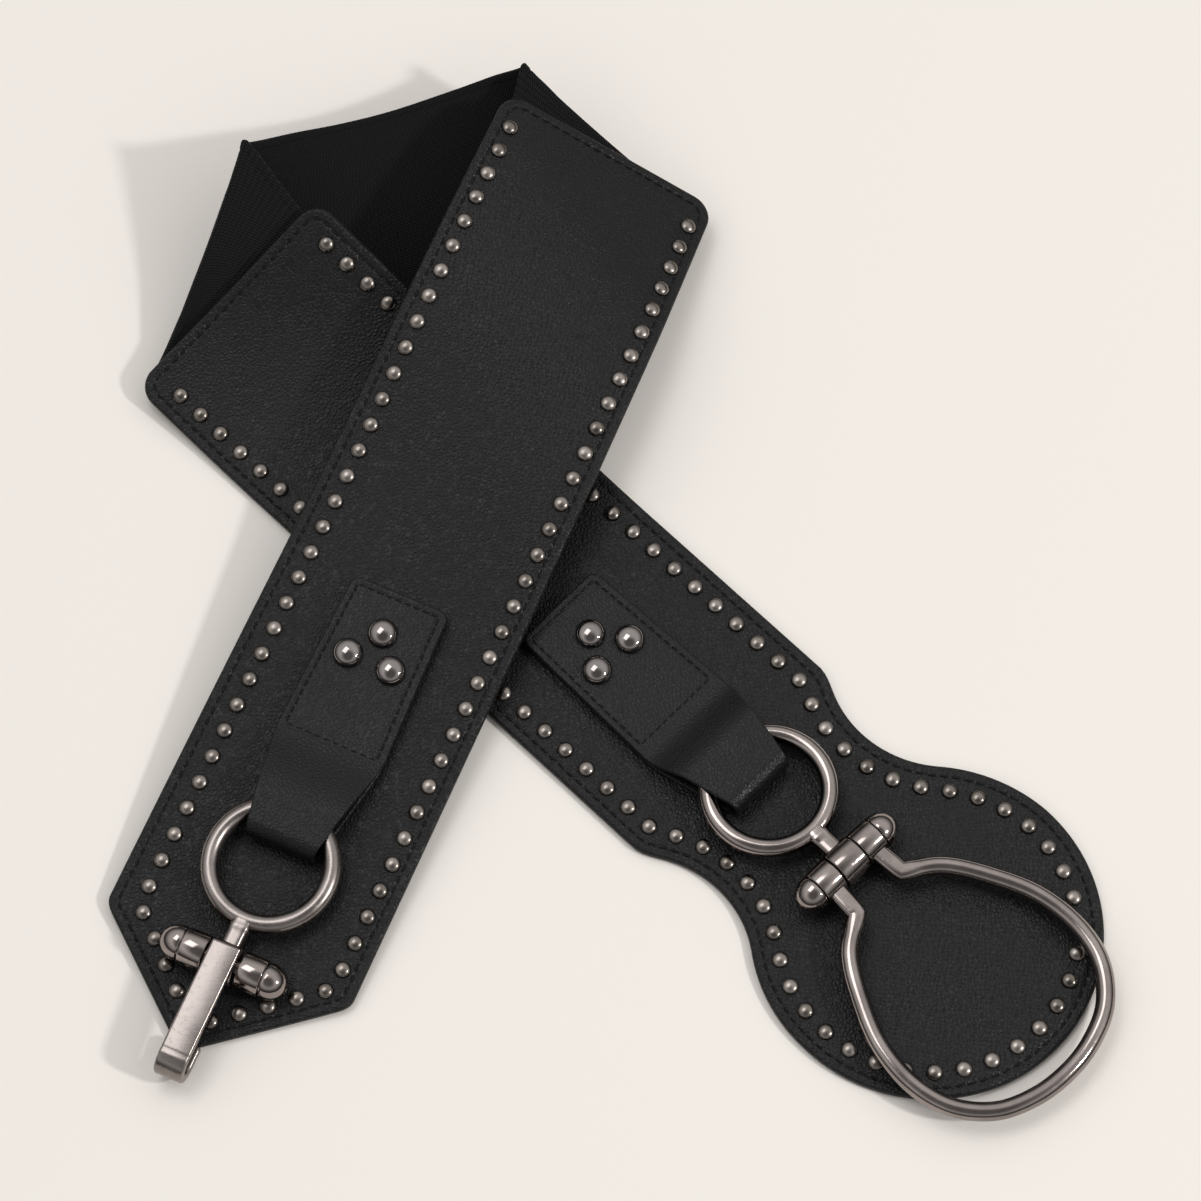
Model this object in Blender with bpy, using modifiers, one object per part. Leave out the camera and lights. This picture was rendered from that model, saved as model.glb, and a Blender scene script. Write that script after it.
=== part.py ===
"""A wide elastic belt, laid down with its two ends crossed.

Metres, +Z up. Each leather panel is drawn flat, with s running from its free tip to the elastic,
t across it and n out of its face, and is then bent over a short table of bends. The elastic is a
strip between the panels' ends that is folded under twice.
"""
import math

import bmesh
import bpy
import numpy as np
from mathutils import Matrix, Vector

MM = 0.001

# Leather panels
LEATHER = 2.6 * MM
SEAT_GAP = 0.3 * MM
HOOK_PANEL_LENGTH = 300.0 * MM
HOOK_PANEL_END_HALF = 35.4 * MM
HOOK_PANEL_LEFT_HALF = 39.6 * MM
HOOK_PANEL_RIGHT_HALF = 36.8 * MM
HOOK_TIP_LENGTH = 31.0 * MM
HOOK_TIP_OFFSET = 1.5 * MM
HOOK_TIP_BLUNTNESS = 0.04
HOOK_TAPER_POWER = 1.5
STIRRUP_PANEL_LENGTH = 330.0 * MM
STIRRUP_PANEL_HALF = 38.4 * MM
DISC_RADIUS = 49.7 * MM
DISC_OFFSET = -1.9 * MM
# Share of the way from the disc's tip past the neck over which its offset fades out
DISC_OFFSET_FADE = 0.6
NECK_HALF = 31.3 * MM
NECK_STATION = 102.0 * MM
SHOULDER_BLEND = 3.0 * MM
PANEL_COLUMNS = 5
# How far round a round tip its first row of points lies
FIRST_ROW_TURN = math.radians(16.0)
CORNER_RADIUS = 7.0 * MM

# Edge studs
STUD_RADIUS = 2.1 * MM
STUD_HEIGHT = 1.5 * MM
STUD_ROOT = 0.4 * MM
STUD_SPACING = 8.33 * MM
STUD_ROW_HALF = 30.2 * MM
STUD_INSET = 7.4 * MM
STUD_TIP_INSET = 5.3 * MM
STUD_END_MARGIN = 11.6 * MM
STUD_SIDES = 8
# The ring of points between a stud's rim and its top, as shares of its radius and height
STUD_CROWN = (0.72, 0.75)

# Elastic
ELASTIC_WIDTH = 66.0 * MM
ELASTIC_THICKNESS = 1.5 * MM
ELASTIC_LAP = 10.0 * MM

# Folded tabs that hold the rings
TAB_LEATHER = 1.5 * MM
TAB_LAYER_GAP = 0.3 * MM
TAB_END_HALF = 15.0 * MM
TAB_SHOULDER_HALF = 16.6 * MM
TAB_FOLD_HALF = 10.5 * MM
TAB_CLOSING = 2.0 * MM
WIRE_CLEARANCE = 0.35 * MM

# Big rivets on the tabs
RIVET_RADIUS = 4.4 * MM
RIVET_HEIGHT = 3.4 * MM
RIVET_SPREAD = 6.7 * MM
RIVET_STEP = 9.2 * MM
# Share of a dome's height that is its straight rim
DOME_RIM = 0.2

# Clasp metal
WIRE_RADIUS = 2.75 * MM
RING_RADIUS = 17.4 * MM
RING_TO_PIN = 30.8 * MM
SHANK_RADIUS = 2.9 * MM
KNUCKLE_RADIUS = 5.85 * MM
KNUCKLE_HALF = 4.4 * MM
SIDE_RADIUS = 5.5 * MM
SIDE_LENGTH = 7.2 * MM
PIN_RADIUS = 2.2 * MM
PIN_CLEARANCE = 0.3 * MM
DOME_LENGTH = 6.8 * MM
DOME_RADIUS = 5.3 * MM
CROSSPIN_GAP = 0.9 * MM
CROSSPIN_GROOVE = 0.35 * MM
GROOVE_SHARE = 0.8
HOOK_BAR_HALF = 4.35 * MM
HOOK_BAR_THICKNESS = 2.8 * MM
HOOK_BAR_REACH = 35.0 * MM
HOOK_BAR_HEEL = 4.2 * MM
HOOK_BAR_RISE = 7.6 * MM
HOOK_THROAT = 6.2 * MM
HOOK_RETURN = 11.0 * MM
HOOK_BEVEL = 0.7 * MM

# Where each panel's tip lies, the way it runs in plan, and its slope
HOOK_PANEL_TIP = (-115.8 * MM, -136.2 * MM)
HOOK_PANEL_HEADING = 65.8
HOOK_PANEL_SLOPE = 5.0
STIRRUP_PANEL_TIP = (126.7 * MM, -136.8 * MM)
STIRRUP_PANEL_HEADING = 135.8

# Bends of the panels: where along the panel as a share of its length, the skew of the bend's
# line in degrees, its radius as a share of the panel's length, its turn in degrees, and whether
# it bends what lies towards the elastic (1) or towards the tip (-1)
HOOK_PANEL_BENDS = [
    # station, skew, radius, turn, side
    (0.112, 0.0, 1.00, 5.0, -1),
    (0.465, 0.0, 1.53, 10.0, 1),
    (0.632, 34.0, 0.50, -23.0, 1),
    (0.879, 32.0, 0.20, -11.0, 1),
]
STIRRUP_PANEL_BENDS = [
    (0.710, 50.0, 0.39, 29.0, 1),
]

# Folds of the elastic. North and south name its two bound edges. Places are from the panel's
# end corner, as shares of the elastic's width. Height is above the surface it lies on, and back
# is how far behind the panel's end the elastic leaves the leather. Follow is how much of the
# panel end's curve the fold takes up
STIRRUP_FOLD = {
    "north": (-0.218, 0.255), "south": (0.006, -0.005), "height": 0.465,
    "north_radius": 0.045, "south_radius": 0.022, "out": 155.0,
    "north_back": 0.0, "south_back": 0.005, "follow": 1.0,
}
HOOK_FOLD = {
    "north": (0.031, 0.141), "south": (0.003, 0.007), "height": 0.394,
    "north_radius": 0.040, "south_radius": 0.026, "out": 58.0,
    "north_back": -0.025, "south_back": -0.015, "follow": 1.0,
}
# The sheet between the folds: share of the way along, bulge and height of the north edge, and
# the shares of each end's sag that reach it
MIDDLE_SHEET = [
    # along, out, height, stirrup_sag, hook_sag
    (0.19, 0.070, 0.350, 0.45, 0.0),
    (0.35, 0.075, 0.275, 0.15, 0.0),
    (0.52, 0.070, 0.245, 0.0, 0.0),
    (0.77, 0.056, 0.275, 0.0, 0.1),
    (0.90, 0.040, 0.320, 0.0, 0.3),
]
ELASTIC_COLUMNS = 5
# Where each fold is cut into straight pieces, in degrees up from level, upper sheet first
FOLD_ANGLES = (112, 68, 24, -20, -64)
# How much of the panel end's own curve each of those rows keeps
FOLD_SAG = (1.0, 0.95, 0.90, 0.85, 0.75)

# Ring, hinge and tab stations along each panel, and the clasp's turn in the panel's plane
HOOK_SIDE = {
    "fold": 63.0 * MM, "shoulder": 95.0 * MM, "end": 145.0 * MM,
    "pin": 26.2 * MM, "across": 0.2 * MM, "turn": 0.0, "rivets": 122.7 * MM,
}
STIRRUP_SIDE = {
    "fold": 111.2 * MM, "shoulder": 138.4 * MM, "end": 192.6 * MM,
    "pin": 78.4 * MM, "across": 1.6 * MM, "turn": -1.2, "rivets": 170.1 * MM,
}

# Half outline of the stirrup's wire as shares of its reach: how far from the pin, and how wide.
# It rests on the panel's studs at a share of its reach
STIRRUP_REACH = 86.0 * MM
STIRRUP_RESTS_AT = 0.87
STIRRUP_OUTLINE = [
    # out, half_width
    (0.035, 0.095),
    (0.150, 0.103),
    (0.226, 0.216),
    (0.372, 0.310),
    (0.517, 0.371),
    (0.681, 0.386),
    (0.820, 0.349),
    (0.930, 0.253),
    (0.985, 0.125),
    (1.000, 0.0),
]

LEATHER_COLOUR = (0.012, 0.012, 0.013)
ELASTIC_COLOUR = (0.006, 0.006, 0.007)
METAL_COLOUR = (0.24, 0.21, 0.20)


def clear_scene():
    for item in list(bpy.data.objects):
        bpy.data.objects.remove(item, do_unlink=True)


def make_collection(name):
    collection = bpy.data.collections.new(name)
    bpy.context.scene.collection.children.link(collection)
    return collection


def make_material(name, colour, roughness, metallic):
    material = bpy.data.materials.new(name)
    material.use_nodes = True
    shader = material.node_tree.nodes["Principled BSDF"]
    shader.inputs["Base Color"].default_value = (*colour, 1.0)
    shader.inputs["Roughness"].default_value = roughness
    shader.inputs["Metallic"].default_value = metallic
    return material


def add_object(name, mesh, collection, parent=None, material=None):
    item = bpy.data.objects.new(name, mesh)
    collection.objects.link(item)
    item.parent = parent
    if material is not None:
        mesh.materials.clear()
        mesh.materials.append(material)
    return item


def add_guide(name, matrix, collection, parent=None):
    guide = bpy.data.objects.new(name, None)
    collection.objects.link(guide)
    guide.parent = parent
    guide.matrix_local = matrix
    return guide


def as_cutter(item):
    item.hide_render = True
    item.display_type = "WIRE"
    return item


def add_boolean(item, other, operation):
    modifier = item.modifiers.new(operation.lower(), "BOOLEAN")
    modifier.operation = operation
    modifier.object = other
    modifier.solver = "EXACT"
    return modifier


def grid_mesh(name, points):
    """A sheet of quads over points[row][column]."""
    rows, columns = points.shape[:2]
    mesh = bpy.data.meshes.new(name)
    faces = [
        (r * columns + c, r * columns + c + 1, (r + 1) * columns + c + 1, (r + 1) * columns + c)
        for r in range(rows - 1)
        for c in range(columns - 1)
    ]
    mesh.from_pydata(points.reshape(-1, 3).tolist(), [], faces)
    mesh.update()
    return mesh


def thicken(item, thickness):
    modifier = item.modifiers.new("thickness", "SOLIDIFY")
    modifier.thickness = thickness
    modifier.offset = 0.0
    modifier.use_even_offset = True
    return modifier


def bend_points(flat, bends, length):
    """Bends flat points (s, t, n) over every row of a table of bends."""
    s, t = flat[..., 0], flat[..., 1]
    placed = flat.copy()
    order = sorted(bends, key=lambda row: -row[0] * row[4])
    for station, skew, radius, turn, side in order:
        c, d = math.cos(math.radians(skew)), math.sin(math.radians(skew))
        start, radius = station * length, radius * length
        sign = math.copysign(1.0, turn)
        past = side * ((s - start) * c - t * d)
        used = np.clip(past, 0.0, radius * math.radians(abs(turn)))
        angle = used / radius
        x, y, n = placed[..., 0] - start, placed[..., 1], placed[..., 2]
        along = side * (x * c - y * d) - used
        across = x * d + y * c
        lift = n - sign * radius
        new_along = along * np.cos(angle) - lift * np.sin(angle) * sign
        new_n = along * np.sin(angle) * sign + lift * np.cos(angle) + sign * radius
        bent = past > 0.0
        along = np.where(bent, new_along, along)
        n = np.where(bent, new_n, n)
        placed = np.stack([side * along * c + across * d + start,
                           across * c - side * along * d, n], axis=-1)
    return placed


def smooth_min(a, b, blend):
    h = np.clip(0.5 + 0.5 * (b - a) / blend, 0.0, 1.0)
    return b + (a - b) * h - blend * h * (1.0 - h)


def corner_cut(s, length, half, radius):
    """How far a rounded end corner draws a straight edge in."""
    into = np.clip(s - (length - radius), 0.0, radius)
    return radius - np.sqrt(np.maximum(radius ** 2 - into ** 2, 0.0))


def hook_panel_edges(s):
    """Half widths (left, right) of the pointed panel."""
    share = np.clip(s / HOOK_PANEL_LENGTH, 0.0, 1.0)
    ends = []
    for half, offset in ((HOOK_PANEL_LEFT_HALF, HOOK_TIP_OFFSET),
                         (HOOK_PANEL_RIGHT_HALF, -HOOK_TIP_OFFSET)):
        straight = half + (HOOK_PANEL_END_HALF - half) * share ** HOOK_TAPER_POWER
        point = offset + (half - offset) * (s / HOOK_TIP_LENGTH + HOOK_TIP_BLUNTNESS)
        width = smooth_min(straight, point, SHOULDER_BLEND)
        ends.append(width - corner_cut(s, HOOK_PANEL_LENGTH, half, CORNER_RADIUS))
    return ends[0], ends[1]


def stirrup_panel_edges(s):
    """Half widths (left, right) of the panel with the round end."""
    run = NECK_STATION - DISC_RADIUS
    neck_radius = ((run ** 2 + NECK_HALF ** 2 - DISC_RADIUS ** 2)
                   / (2.0 * (DISC_RADIUS - NECK_HALF)))
    disc = np.sqrt(np.maximum(DISC_RADIUS ** 2 - (s - DISC_RADIUS) ** 2, 0.0))
    touch = DISC_RADIUS + run * DISC_RADIUS / (DISC_RADIUS + neck_radius)
    from_neck = np.clip(np.abs(s - NECK_STATION), 0.0, neck_radius)
    neck = NECK_HALF + neck_radius - np.sqrt(neck_radius ** 2 - from_neck ** 2)
    body = smooth_min(neck, np.full_like(s, STIRRUP_PANEL_HALF), SHOULDER_BLEND)
    body = np.where(s > NECK_STATION + neck_radius, STIRRUP_PANEL_HALF, body)
    half = np.where(s < touch, disc, np.where(s < NECK_STATION, neck, body))
    half = half - corner_cut(s, STIRRUP_PANEL_LENGTH, half, CORNER_RADIUS)
    before = np.clip(1.0 - s / (NECK_STATION + DISC_RADIUS / 2.0), 0.0, DISC_OFFSET_FADE)
    drift = DISC_OFFSET * before / DISC_OFFSET_FADE
    return half + drift, half - drift


def panel_grid(edges, stations, columns):
    """Flat points of a panel, a row for each station."""
    left, right = edges(stations)
    shares = np.linspace(0.0, 1.0, columns)
    t = -right[:, None] + (left + right)[:, None] * shares[None, :]
    s = np.repeat(stations[:, None], columns, axis=1)
    return np.stack([s, t, np.zeros_like(s)], axis=-1)


def spaced(path, spacing):
    """Points at an equal spacing, close to the one asked for, along a path."""
    steps = np.linalg.norm(np.diff(path, axis=0), axis=1)
    run = np.concatenate([[0.0], np.cumsum(steps)])
    count = int(round(run[-1] / spacing)) + 1
    wanted = np.linspace(0.0, run[-1], count)
    return np.stack([np.interp(wanted, run, path[:, k]) for k in range(2)], axis=1)


def hook_stud_path():
    """Two straight rows, joined by two that run along the point's cut edges."""
    top = HOOK_PANEL_LENGTH - STUD_END_MARGIN
    slant = math.hypot(HOOK_TIP_LENGTH, HOOK_PANEL_LEFT_HALF)
    apex = STUD_TIP_INSET * slant / HOOK_PANEL_LEFT_HALF
    corner = apex + STUD_ROW_HALF * HOOK_TIP_LENGTH / HOOK_PANEL_LEFT_HALF + STUD_RADIUS
    return np.array([(top, STUD_ROW_HALF), (corner, STUD_ROW_HALF), (apex, HOOK_TIP_OFFSET),
                     (corner, -STUD_ROW_HALF), (top, -STUD_ROW_HALF)])


def stirrup_stud_path():
    """The panel's outline moved inwards, from one elastic corner round the disc to the other."""
    turn = np.linspace(0.0, math.pi, 60)
    s = (1.0 - np.cos(turn)) / 2.0 * (NECK_STATION + DISC_RADIUS)
    s = np.concatenate([s, np.linspace(s[-1], STIRRUP_PANEL_LENGTH - STUD_END_MARGIN, 20)[1:]])
    left, right = stirrup_panel_edges(s)
    outline = np.concatenate([np.stack([s, left], 1)[::-1], np.stack([s, -right], 1)[1:]])
    along = np.gradient(outline, axis=0)
    along /= np.linalg.norm(along, axis=1)[:, None]
    inward = np.stack([-along[:, 1], along[:, 0]], axis=1)
    return outline + inward * STUD_INSET


def stud_domes(name, path, bends, length, collection, parent):
    """One mesh of low domes, each set a little into the leather."""
    work = bmesh.new()
    rings = [(STUD_RADIUS, -STUD_ROOT),
             (STUD_CROWN[0] * STUD_RADIUS, STUD_CROWN[1] * STUD_HEIGHT)]
    step = STUD_RADIUS / 4.0
    for s, t in spaced(path, STUD_SPACING):
        frame_points = np.array([(s, t, LEATHER / 2), (s + step, t, LEATHER / 2),
                                 (s, t + step, LEATHER / 2)])
        here, ahead, beside = bend_points(frame_points, bends, length)
        x_axis = (ahead - here) / step
        y_axis = (beside - here) / step
        z_axis = np.cross(x_axis, y_axis)
        loops = []
        for radius, height in rings:
            loop = []
            for k in range(STUD_SIDES):
                a = 2.0 * math.pi * k / STUD_SIDES
                point = (here + x_axis * radius * math.cos(a) + y_axis * radius * math.sin(a)
                         + z_axis * height)
                loop.append(work.verts.new(point))
            loops.append(loop)
        top = work.verts.new(here + z_axis * STUD_HEIGHT)
        work.faces.new(loops[0][::-1])
        for low, high in zip(loops, loops[1:]):
            for k in range(STUD_SIDES):
                j = (k + 1) % STUD_SIDES
                work.faces.new((low[k], low[j], high[j], high[k]))
        for k in range(STUD_SIDES):
            work.faces.new((loops[-1][k], loops[-1][(k + 1) % STUD_SIDES], top))
    mesh = bpy.data.meshes.new(name)
    work.to_mesh(mesh)
    work.free()
    return as_cutter(add_object(name, mesh, collection, parent))


def tip_stations(length, tip, rows_in_tip, rows_beyond):
    """Stations that crowd together at a round or pointed tip and at the end's corners."""
    turn = np.linspace(FIRST_ROW_TURN, 0.5 * math.pi, rows_in_tip)
    near = (1.0 - np.cos(turn)) * tip
    far = np.linspace(tip, length - CORNER_RADIUS, rows_beyond)[1:]
    corner = length - CORNER_RADIUS * (1.0 - np.sin(np.linspace(0.0, 0.5, 4)[1:] * math.pi))
    return np.concatenate([near, far, corner])


def make_panel(name, edges, stations, bends, length, studs, parts, parent, material):
    grid = bend_points(panel_grid(edges, stations, PANEL_COLUMNS), bends, length)
    panel = add_object(name, grid_mesh(name, grid), parts, parent, material)
    thicken(panel, LEATHER)
    add_boolean(panel, studs, "UNION")
    return panel


def panel_point(guide, bends, length, s, t, n):
    """A point of a bent panel, in world space."""
    local = bend_points(np.array([[s, t, n]]), bends, length)[0]
    return np.array(guide.matrix_world @ Vector(local))


def catmull_rom(points, steps):
    """A smooth curve through every row of points, with steps[i] pieces in span i."""
    ends = np.concatenate([[2 * points[0] - points[1]], points, [2 * points[-1] - points[-2]]])
    knots = np.concatenate([[0.0], np.cumsum(
        np.sqrt(np.linalg.norm(np.diff(ends[:, :3], axis=0), axis=1)))])
    curve = []
    for i, count in enumerate(steps):
        p0, p1, p2, p3 = ends[i:i + 4]
        k0, k1, k2, k3 = knots[i:i + 4]
        for k in np.linspace(k1, k2, count + 1)[:-1]:
            a1 = (k1 - k) / (k1 - k0) * p0 + (k - k0) / (k1 - k0) * p1
            a2 = (k2 - k) / (k2 - k1) * p1 + (k - k1) / (k2 - k1) * p2
            a3 = (k3 - k) / (k3 - k2) * p2 + (k - k2) / (k3 - k2) * p3
            b1 = (k2 - k) / (k2 - k0) * a1 + (k - k0) / (k2 - k0) * a2
            b2 = (k3 - k) / (k3 - k1) * a2 + (k - k1) / (k3 - k1) * a3
            curve.append((k2 - k) / (k2 - k1) * b1 + (k - k1) / (k2 - k1) * b2)
    curve.append(points[-1])
    return np.array(curve)


def fold_centre(corner_north, corner_south, fold):
    """Centres of a fold's two ends, and its two radii."""
    width = ELASTIC_WIDTH
    south_radius = fold["south_radius"] * width
    north = np.array([corner_north[0] + fold["north"][0] * width,
                      corner_north[1] + fold["north"][1] * width, fold["height"] * width])
    south = np.array([corner_south[0] + fold["south"][0] * width,
                      corner_south[1] + fold["south"][1] * width,
                      south_radius + ELASTIC_THICKNESS / 2.0])
    return north, south, fold["north_radius"] * width, south_radius


def straight_row(north, south):
    """Points across the elastic from one bound edge to the other, flattened to one row."""
    shares = np.linspace(0.0, 1.0, ELASTIC_COLUMNS)[:, None]
    return (north * (1.0 - shares) + south * shares).ravel()


def fold_rows(centres, fold, angles):
    """Straight rows across the elastic where it turns over."""
    north, south, north_radius, south_radius = centres
    out = math.radians(fold["out"])
    outward = np.array([math.cos(out), math.sin(out), 0.0])
    rows = []
    for degrees in angles:
        a = math.radians(degrees)
        reach = outward * math.cos(a) + np.array([0.0, 0.0, math.sin(a)])
        rows.append(straight_row(north + reach * north_radius, south + reach * south_radius))
    return rows


def seated_row(end, fold, lap):
    """A row under the panel's end, which follows the leather's own curve."""
    shares = np.linspace(0.0, 1.0, ELASTIC_COLUMNS)
    backs = lap + ELASTIC_WIDTH * (fold["north_back"] * (1.0 - shares)
                                   + fold["south_back"] * shares)
    return np.array([end(back, share) for back, share in zip(backs, shares)]).ravel()


def sag_of(row):
    """How far a row departs from the straight line between its ends."""
    return row - straight_row(row[:3], row[-3:])


def elastic_rows(stirrup_end, hook_end):
    """All rows of the elastic from under one panel's end to under the other's."""
    sides = []
    for end, fold, angles in ((stirrup_end, STIRRUP_FOLD, FOLD_ANGLES),
                              (hook_end, HOOK_FOLD, FOLD_ANGLES)):
        inner, outer = seated_row(end, fold, ELASTIC_LAP), seated_row(end, fold, 0.0)
        centres = fold_centre(end(0.0, 0.0), end(0.0, 1.0), fold)
        sag = sag_of(outer) * fold["follow"]
        folded = [row + sag * share
                  for row, share in zip(fold_rows(centres, fold, angles), FOLD_SAG)]
        sides.append(([inner, outer] + folded, sag))
    (first, first_sag), (last, last_sag) = sides
    start, stop = first[-1] - first_sag * FOLD_SAG[-1], last[-1] - last_sag * FOLD_SAG[-1]
    run = stop[:3] - start[:3]
    side = np.array([-run[1], run[0], 0.0]) / np.linalg.norm(run[:2])
    middle = []
    for along, out, height, first_share, last_share in MIDDLE_SHEET:
        north = start[:3] + run * along + side * out * ELASTIC_WIDTH
        north[2] = height * ELASTIC_WIDTH
        row = straight_row(north, start[-3:] + (stop[-3:] - start[-3:]) * along)
        middle.append(row + first_sag * first_share + last_sag * last_share)
    rows = first + middle + last[::-1]
    steps = [1, 4] + [1] * 4 + [3] + [2] * (len(MIDDLE_SHEET) - 1) + [3] + [1] * 4 + [3, 1]
    return catmull_rom(np.array(rows), steps)


def make_elastic(parts, hook_guide, stirrup_guide, material):
    under = -(LEATHER / 2.0 + SEAT_GAP + ELASTIC_THICKNESS / 2.0)

    def hook_end(back, share):
        return panel_point(hook_guide, HOOK_PANEL_BENDS, HOOK_PANEL_LENGTH,
                           HOOK_PANEL_LENGTH - back, (0.5 - share) * ELASTIC_WIDTH, under)

    def stirrup_end(back, share):
        return panel_point(stirrup_guide, STIRRUP_PANEL_BENDS, STIRRUP_PANEL_LENGTH,
                           STIRRUP_PANEL_LENGTH - back, (share - 0.5) * ELASTIC_WIDTH, under)

    rows = elastic_rows(stirrup_end, hook_end)
    sheet = rows.reshape(len(rows), ELASTIC_COLUMNS, 3)
    elastic = add_object("elastic_band", grid_mesh("elastic_band", sheet), parts, None, material)
    thicken(elastic, ELASTIC_THICKNESS)
    elastic.data.shade_smooth()
    return elastic


def tab_profile(side):
    """The folded strip seen from its edge: rows of (s, n) from the lower end round to the upper."""
    low = LEATHER / 2.0 + SEAT_GAP + TAB_LEATHER / 2.0
    closed = low + TAB_LEATHER + TAB_LAYER_GAP
    opened = low + TAB_LEATHER + 2.0 * (WIRE_RADIUS + WIRE_CLEARANCE)
    radius = (opened - low) / 2.0
    fold, shoulder, end = side["fold"], side["shoulder"], side["end"]
    wire_end = side["pin"] + RING_TO_PIN + RING_RADIUS + WIRE_RADIUS + WIRE_CLEARANCE
    rows = [(end, low), ((end + shoulder) / 2.0, low), (shoulder, low), (wire_end, low)]
    for k in range(9):
        a = -math.pi / 2.0 - math.pi * k / 8.0
        rows.append((fold + radius + radius * math.cos(a), low + radius + radius * math.sin(a)))
    rows.append((wire_end, opened))
    run = shoulder + TAB_CLOSING - wire_end
    for share in (0.25, 0.5, 0.75):
        ease = share * share * (3.0 - 2.0 * share)
        rows.append((wire_end + run * share, opened + (closed - opened) * ease))
    rows += [(wire_end + run, closed), ((end + shoulder) / 2.0, closed), (end, closed)]
    return rows


def tab_half_width(s, side):
    return float(np.interp(s, (side["fold"], side["shoulder"], side["end"]),
                           (TAB_FOLD_HALF, TAB_SHOULDER_HALF, TAB_END_HALF)))


def make_tab(name, side, parts, guide, material):
    shares = np.linspace(-1.0, 1.0, 5)
    rows = []
    for s, n in tab_profile(side):
        half = tab_half_width(s, side)
        rows.append([(s, side["across"] + half * share, n) for share in shares])
    tab = add_object(name, grid_mesh(name, np.array(rows)), parts, guide, material)
    thicken(tab, TAB_LEATHER)
    return tab


def turned(name, profile, segments, parts, parent, matrix, material):
    """A turned shape: rows of (radius, height), swept round Z with a Screw modifier."""
    mesh = bpy.data.meshes.new(name)
    points = [(radius, 0.0, height) for radius, height in profile]
    mesh.from_pydata(points, [(k, k + 1) for k in range(len(points) - 1)], [])
    item = add_object(name, mesh, parts, parent, material)
    item.matrix_local = matrix
    screw = item.modifiers.new("turn", "SCREW")
    screw.axis = "Z"
    screw.steps = segments
    screw.render_steps = segments
    screw.use_merge_vertices = True
    screw.merge_threshold = 0.00001
    screw.use_smooth_shade = True
    return item


def dome_profile(radius, base, height, rows):
    """A dome's outer side from its top down to its rim: radius and height."""
    points = []
    for k in range(rows + 1):
        a = math.pi / 2.0 * (1.0 - k / rows)
        points.append((radius * math.cos(a), base + height * math.sin(a)))
    return points


def make_rivets(prefix, side, parts, guide, material):
    seat = (LEATHER / 2.0 + SEAT_GAP + 2.0 * TAB_LEATHER + TAB_LAYER_GAP + SEAT_GAP)
    places = [(RIVET_STEP, 0.0), (0.0, RIVET_SPREAD), (0.0, -RIVET_SPREAD)]
    for number, (ahead, across) in enumerate(places, start=1):
        matrix = Matrix.Translation((side["rivets"] + ahead, side["across"] + across, seat))
        profile = dome_profile(RIVET_RADIUS, DOME_RIM * RIVET_HEIGHT,
                               (1.0 - DOME_RIM) * RIVET_HEIGHT, 3)
        profile += [(RIVET_RADIUS, 0.0), (0.0, 0.0)]
        turned(f"{prefix}_rivet_{number}", profile, 12, parts, guide, matrix, material)


def add_cylinder(name, radius, depth, matrix, segments, collection, parent):
    work = bmesh.new()
    bmesh.ops.create_cone(work, cap_ends=True, segments=segments, radius1=radius,
                          radius2=radius, depth=depth)
    mesh = bpy.data.meshes.new(name)
    work.to_mesh(mesh)
    work.free()
    item = add_object(name, mesh, collection, parent)
    item.matrix_local = matrix
    return item


def add_torus(name, major, minor, major_segments, minor_segments, collection, parent, matrix):
    bpy.ops.mesh.primitive_torus_add(major_radius=major, minor_radius=minor,
                                     major_segments=major_segments,
                                     minor_segments=minor_segments)
    made = bpy.context.object
    mesh = made.data
    mesh.name = name
    bpy.data.objects.remove(made, do_unlink=True)
    item = add_object(name, mesh, collection, parent)
    item.matrix_local = matrix
    return item


def pin_height(radius):
    """Height of a knuckle's axis over the panel's middle surface."""
    return LEATHER / 2.0 + SEAT_GAP + radius


ALONG_PIN = Matrix.Rotation(math.radians(-90.0), 4, "X")
ALONG_CLASP = Matrix.Rotation(math.radians(90.0), 4, "Y")


def wire_height():
    """Height of the ring's wire, inside the tab, over the panel's middle surface."""
    return LEATHER / 2.0 + SEAT_GAP + TAB_LEATHER + WIRE_CLEARANCE + WIRE_RADIUS


def make_ring_casting(name, parts, cutters, clasp, material):
    """Ring, shank and centre knuckle in one: the pin's axis is the clasp guide's Y axis."""
    drop = wire_height() - pin_height(KNUCKLE_RADIUS)
    tilt = Matrix.Rotation(math.atan2(drop, RING_TO_PIN + RING_RADIUS), 4, "Y")
    place = tilt @ Matrix.Translation((-RING_TO_PIN, 0.0, 0.0))
    ring = add_torus(name, RING_RADIUS, WIRE_RADIUS, 28, 8, parts, clasp, place)
    ring.data.materials.append(material)
    shank_length = RING_TO_PIN - RING_RADIUS
    middle = tilt @ Matrix.Translation((-shank_length / 2.0, 0.0, 0.0)) @ ALONG_CLASP
    shank = as_cutter(add_cylinder(name + "_shank", SHANK_RADIUS, shank_length, middle, 8,
                                   cutters, clasp))
    add_boolean(ring, shank, "UNION")
    knuckle = as_cutter(add_cylinder(name + "_knuckle", KNUCKLE_RADIUS, 2.0 * KNUCKLE_HALF,
                                     ALONG_PIN, 16, cutters, clasp))
    add_boolean(ring, knuckle, "UNION")
    bore = as_cutter(add_cylinder(name + "_bore", PIN_RADIUS + PIN_CLEARANCE,
                                  4.0 * KNUCKLE_HALF, ALONG_PIN, 12, cutters, clasp))
    return ring, bore


def dome_pin_profile(inner_half):
    """Half of a pin from its middle out: a thin middle, and a dome beyond inner_half."""
    base = inner_half + PIN_CLEARANCE
    dome = dome_profile(DOME_RADIUS, base + DOME_RIM * DOME_LENGTH,
                        (1.0 - DOME_RIM) * DOME_LENGTH, 4)
    return dome + [(DOME_RADIUS, base), (PIN_RADIUS, base)]


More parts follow.
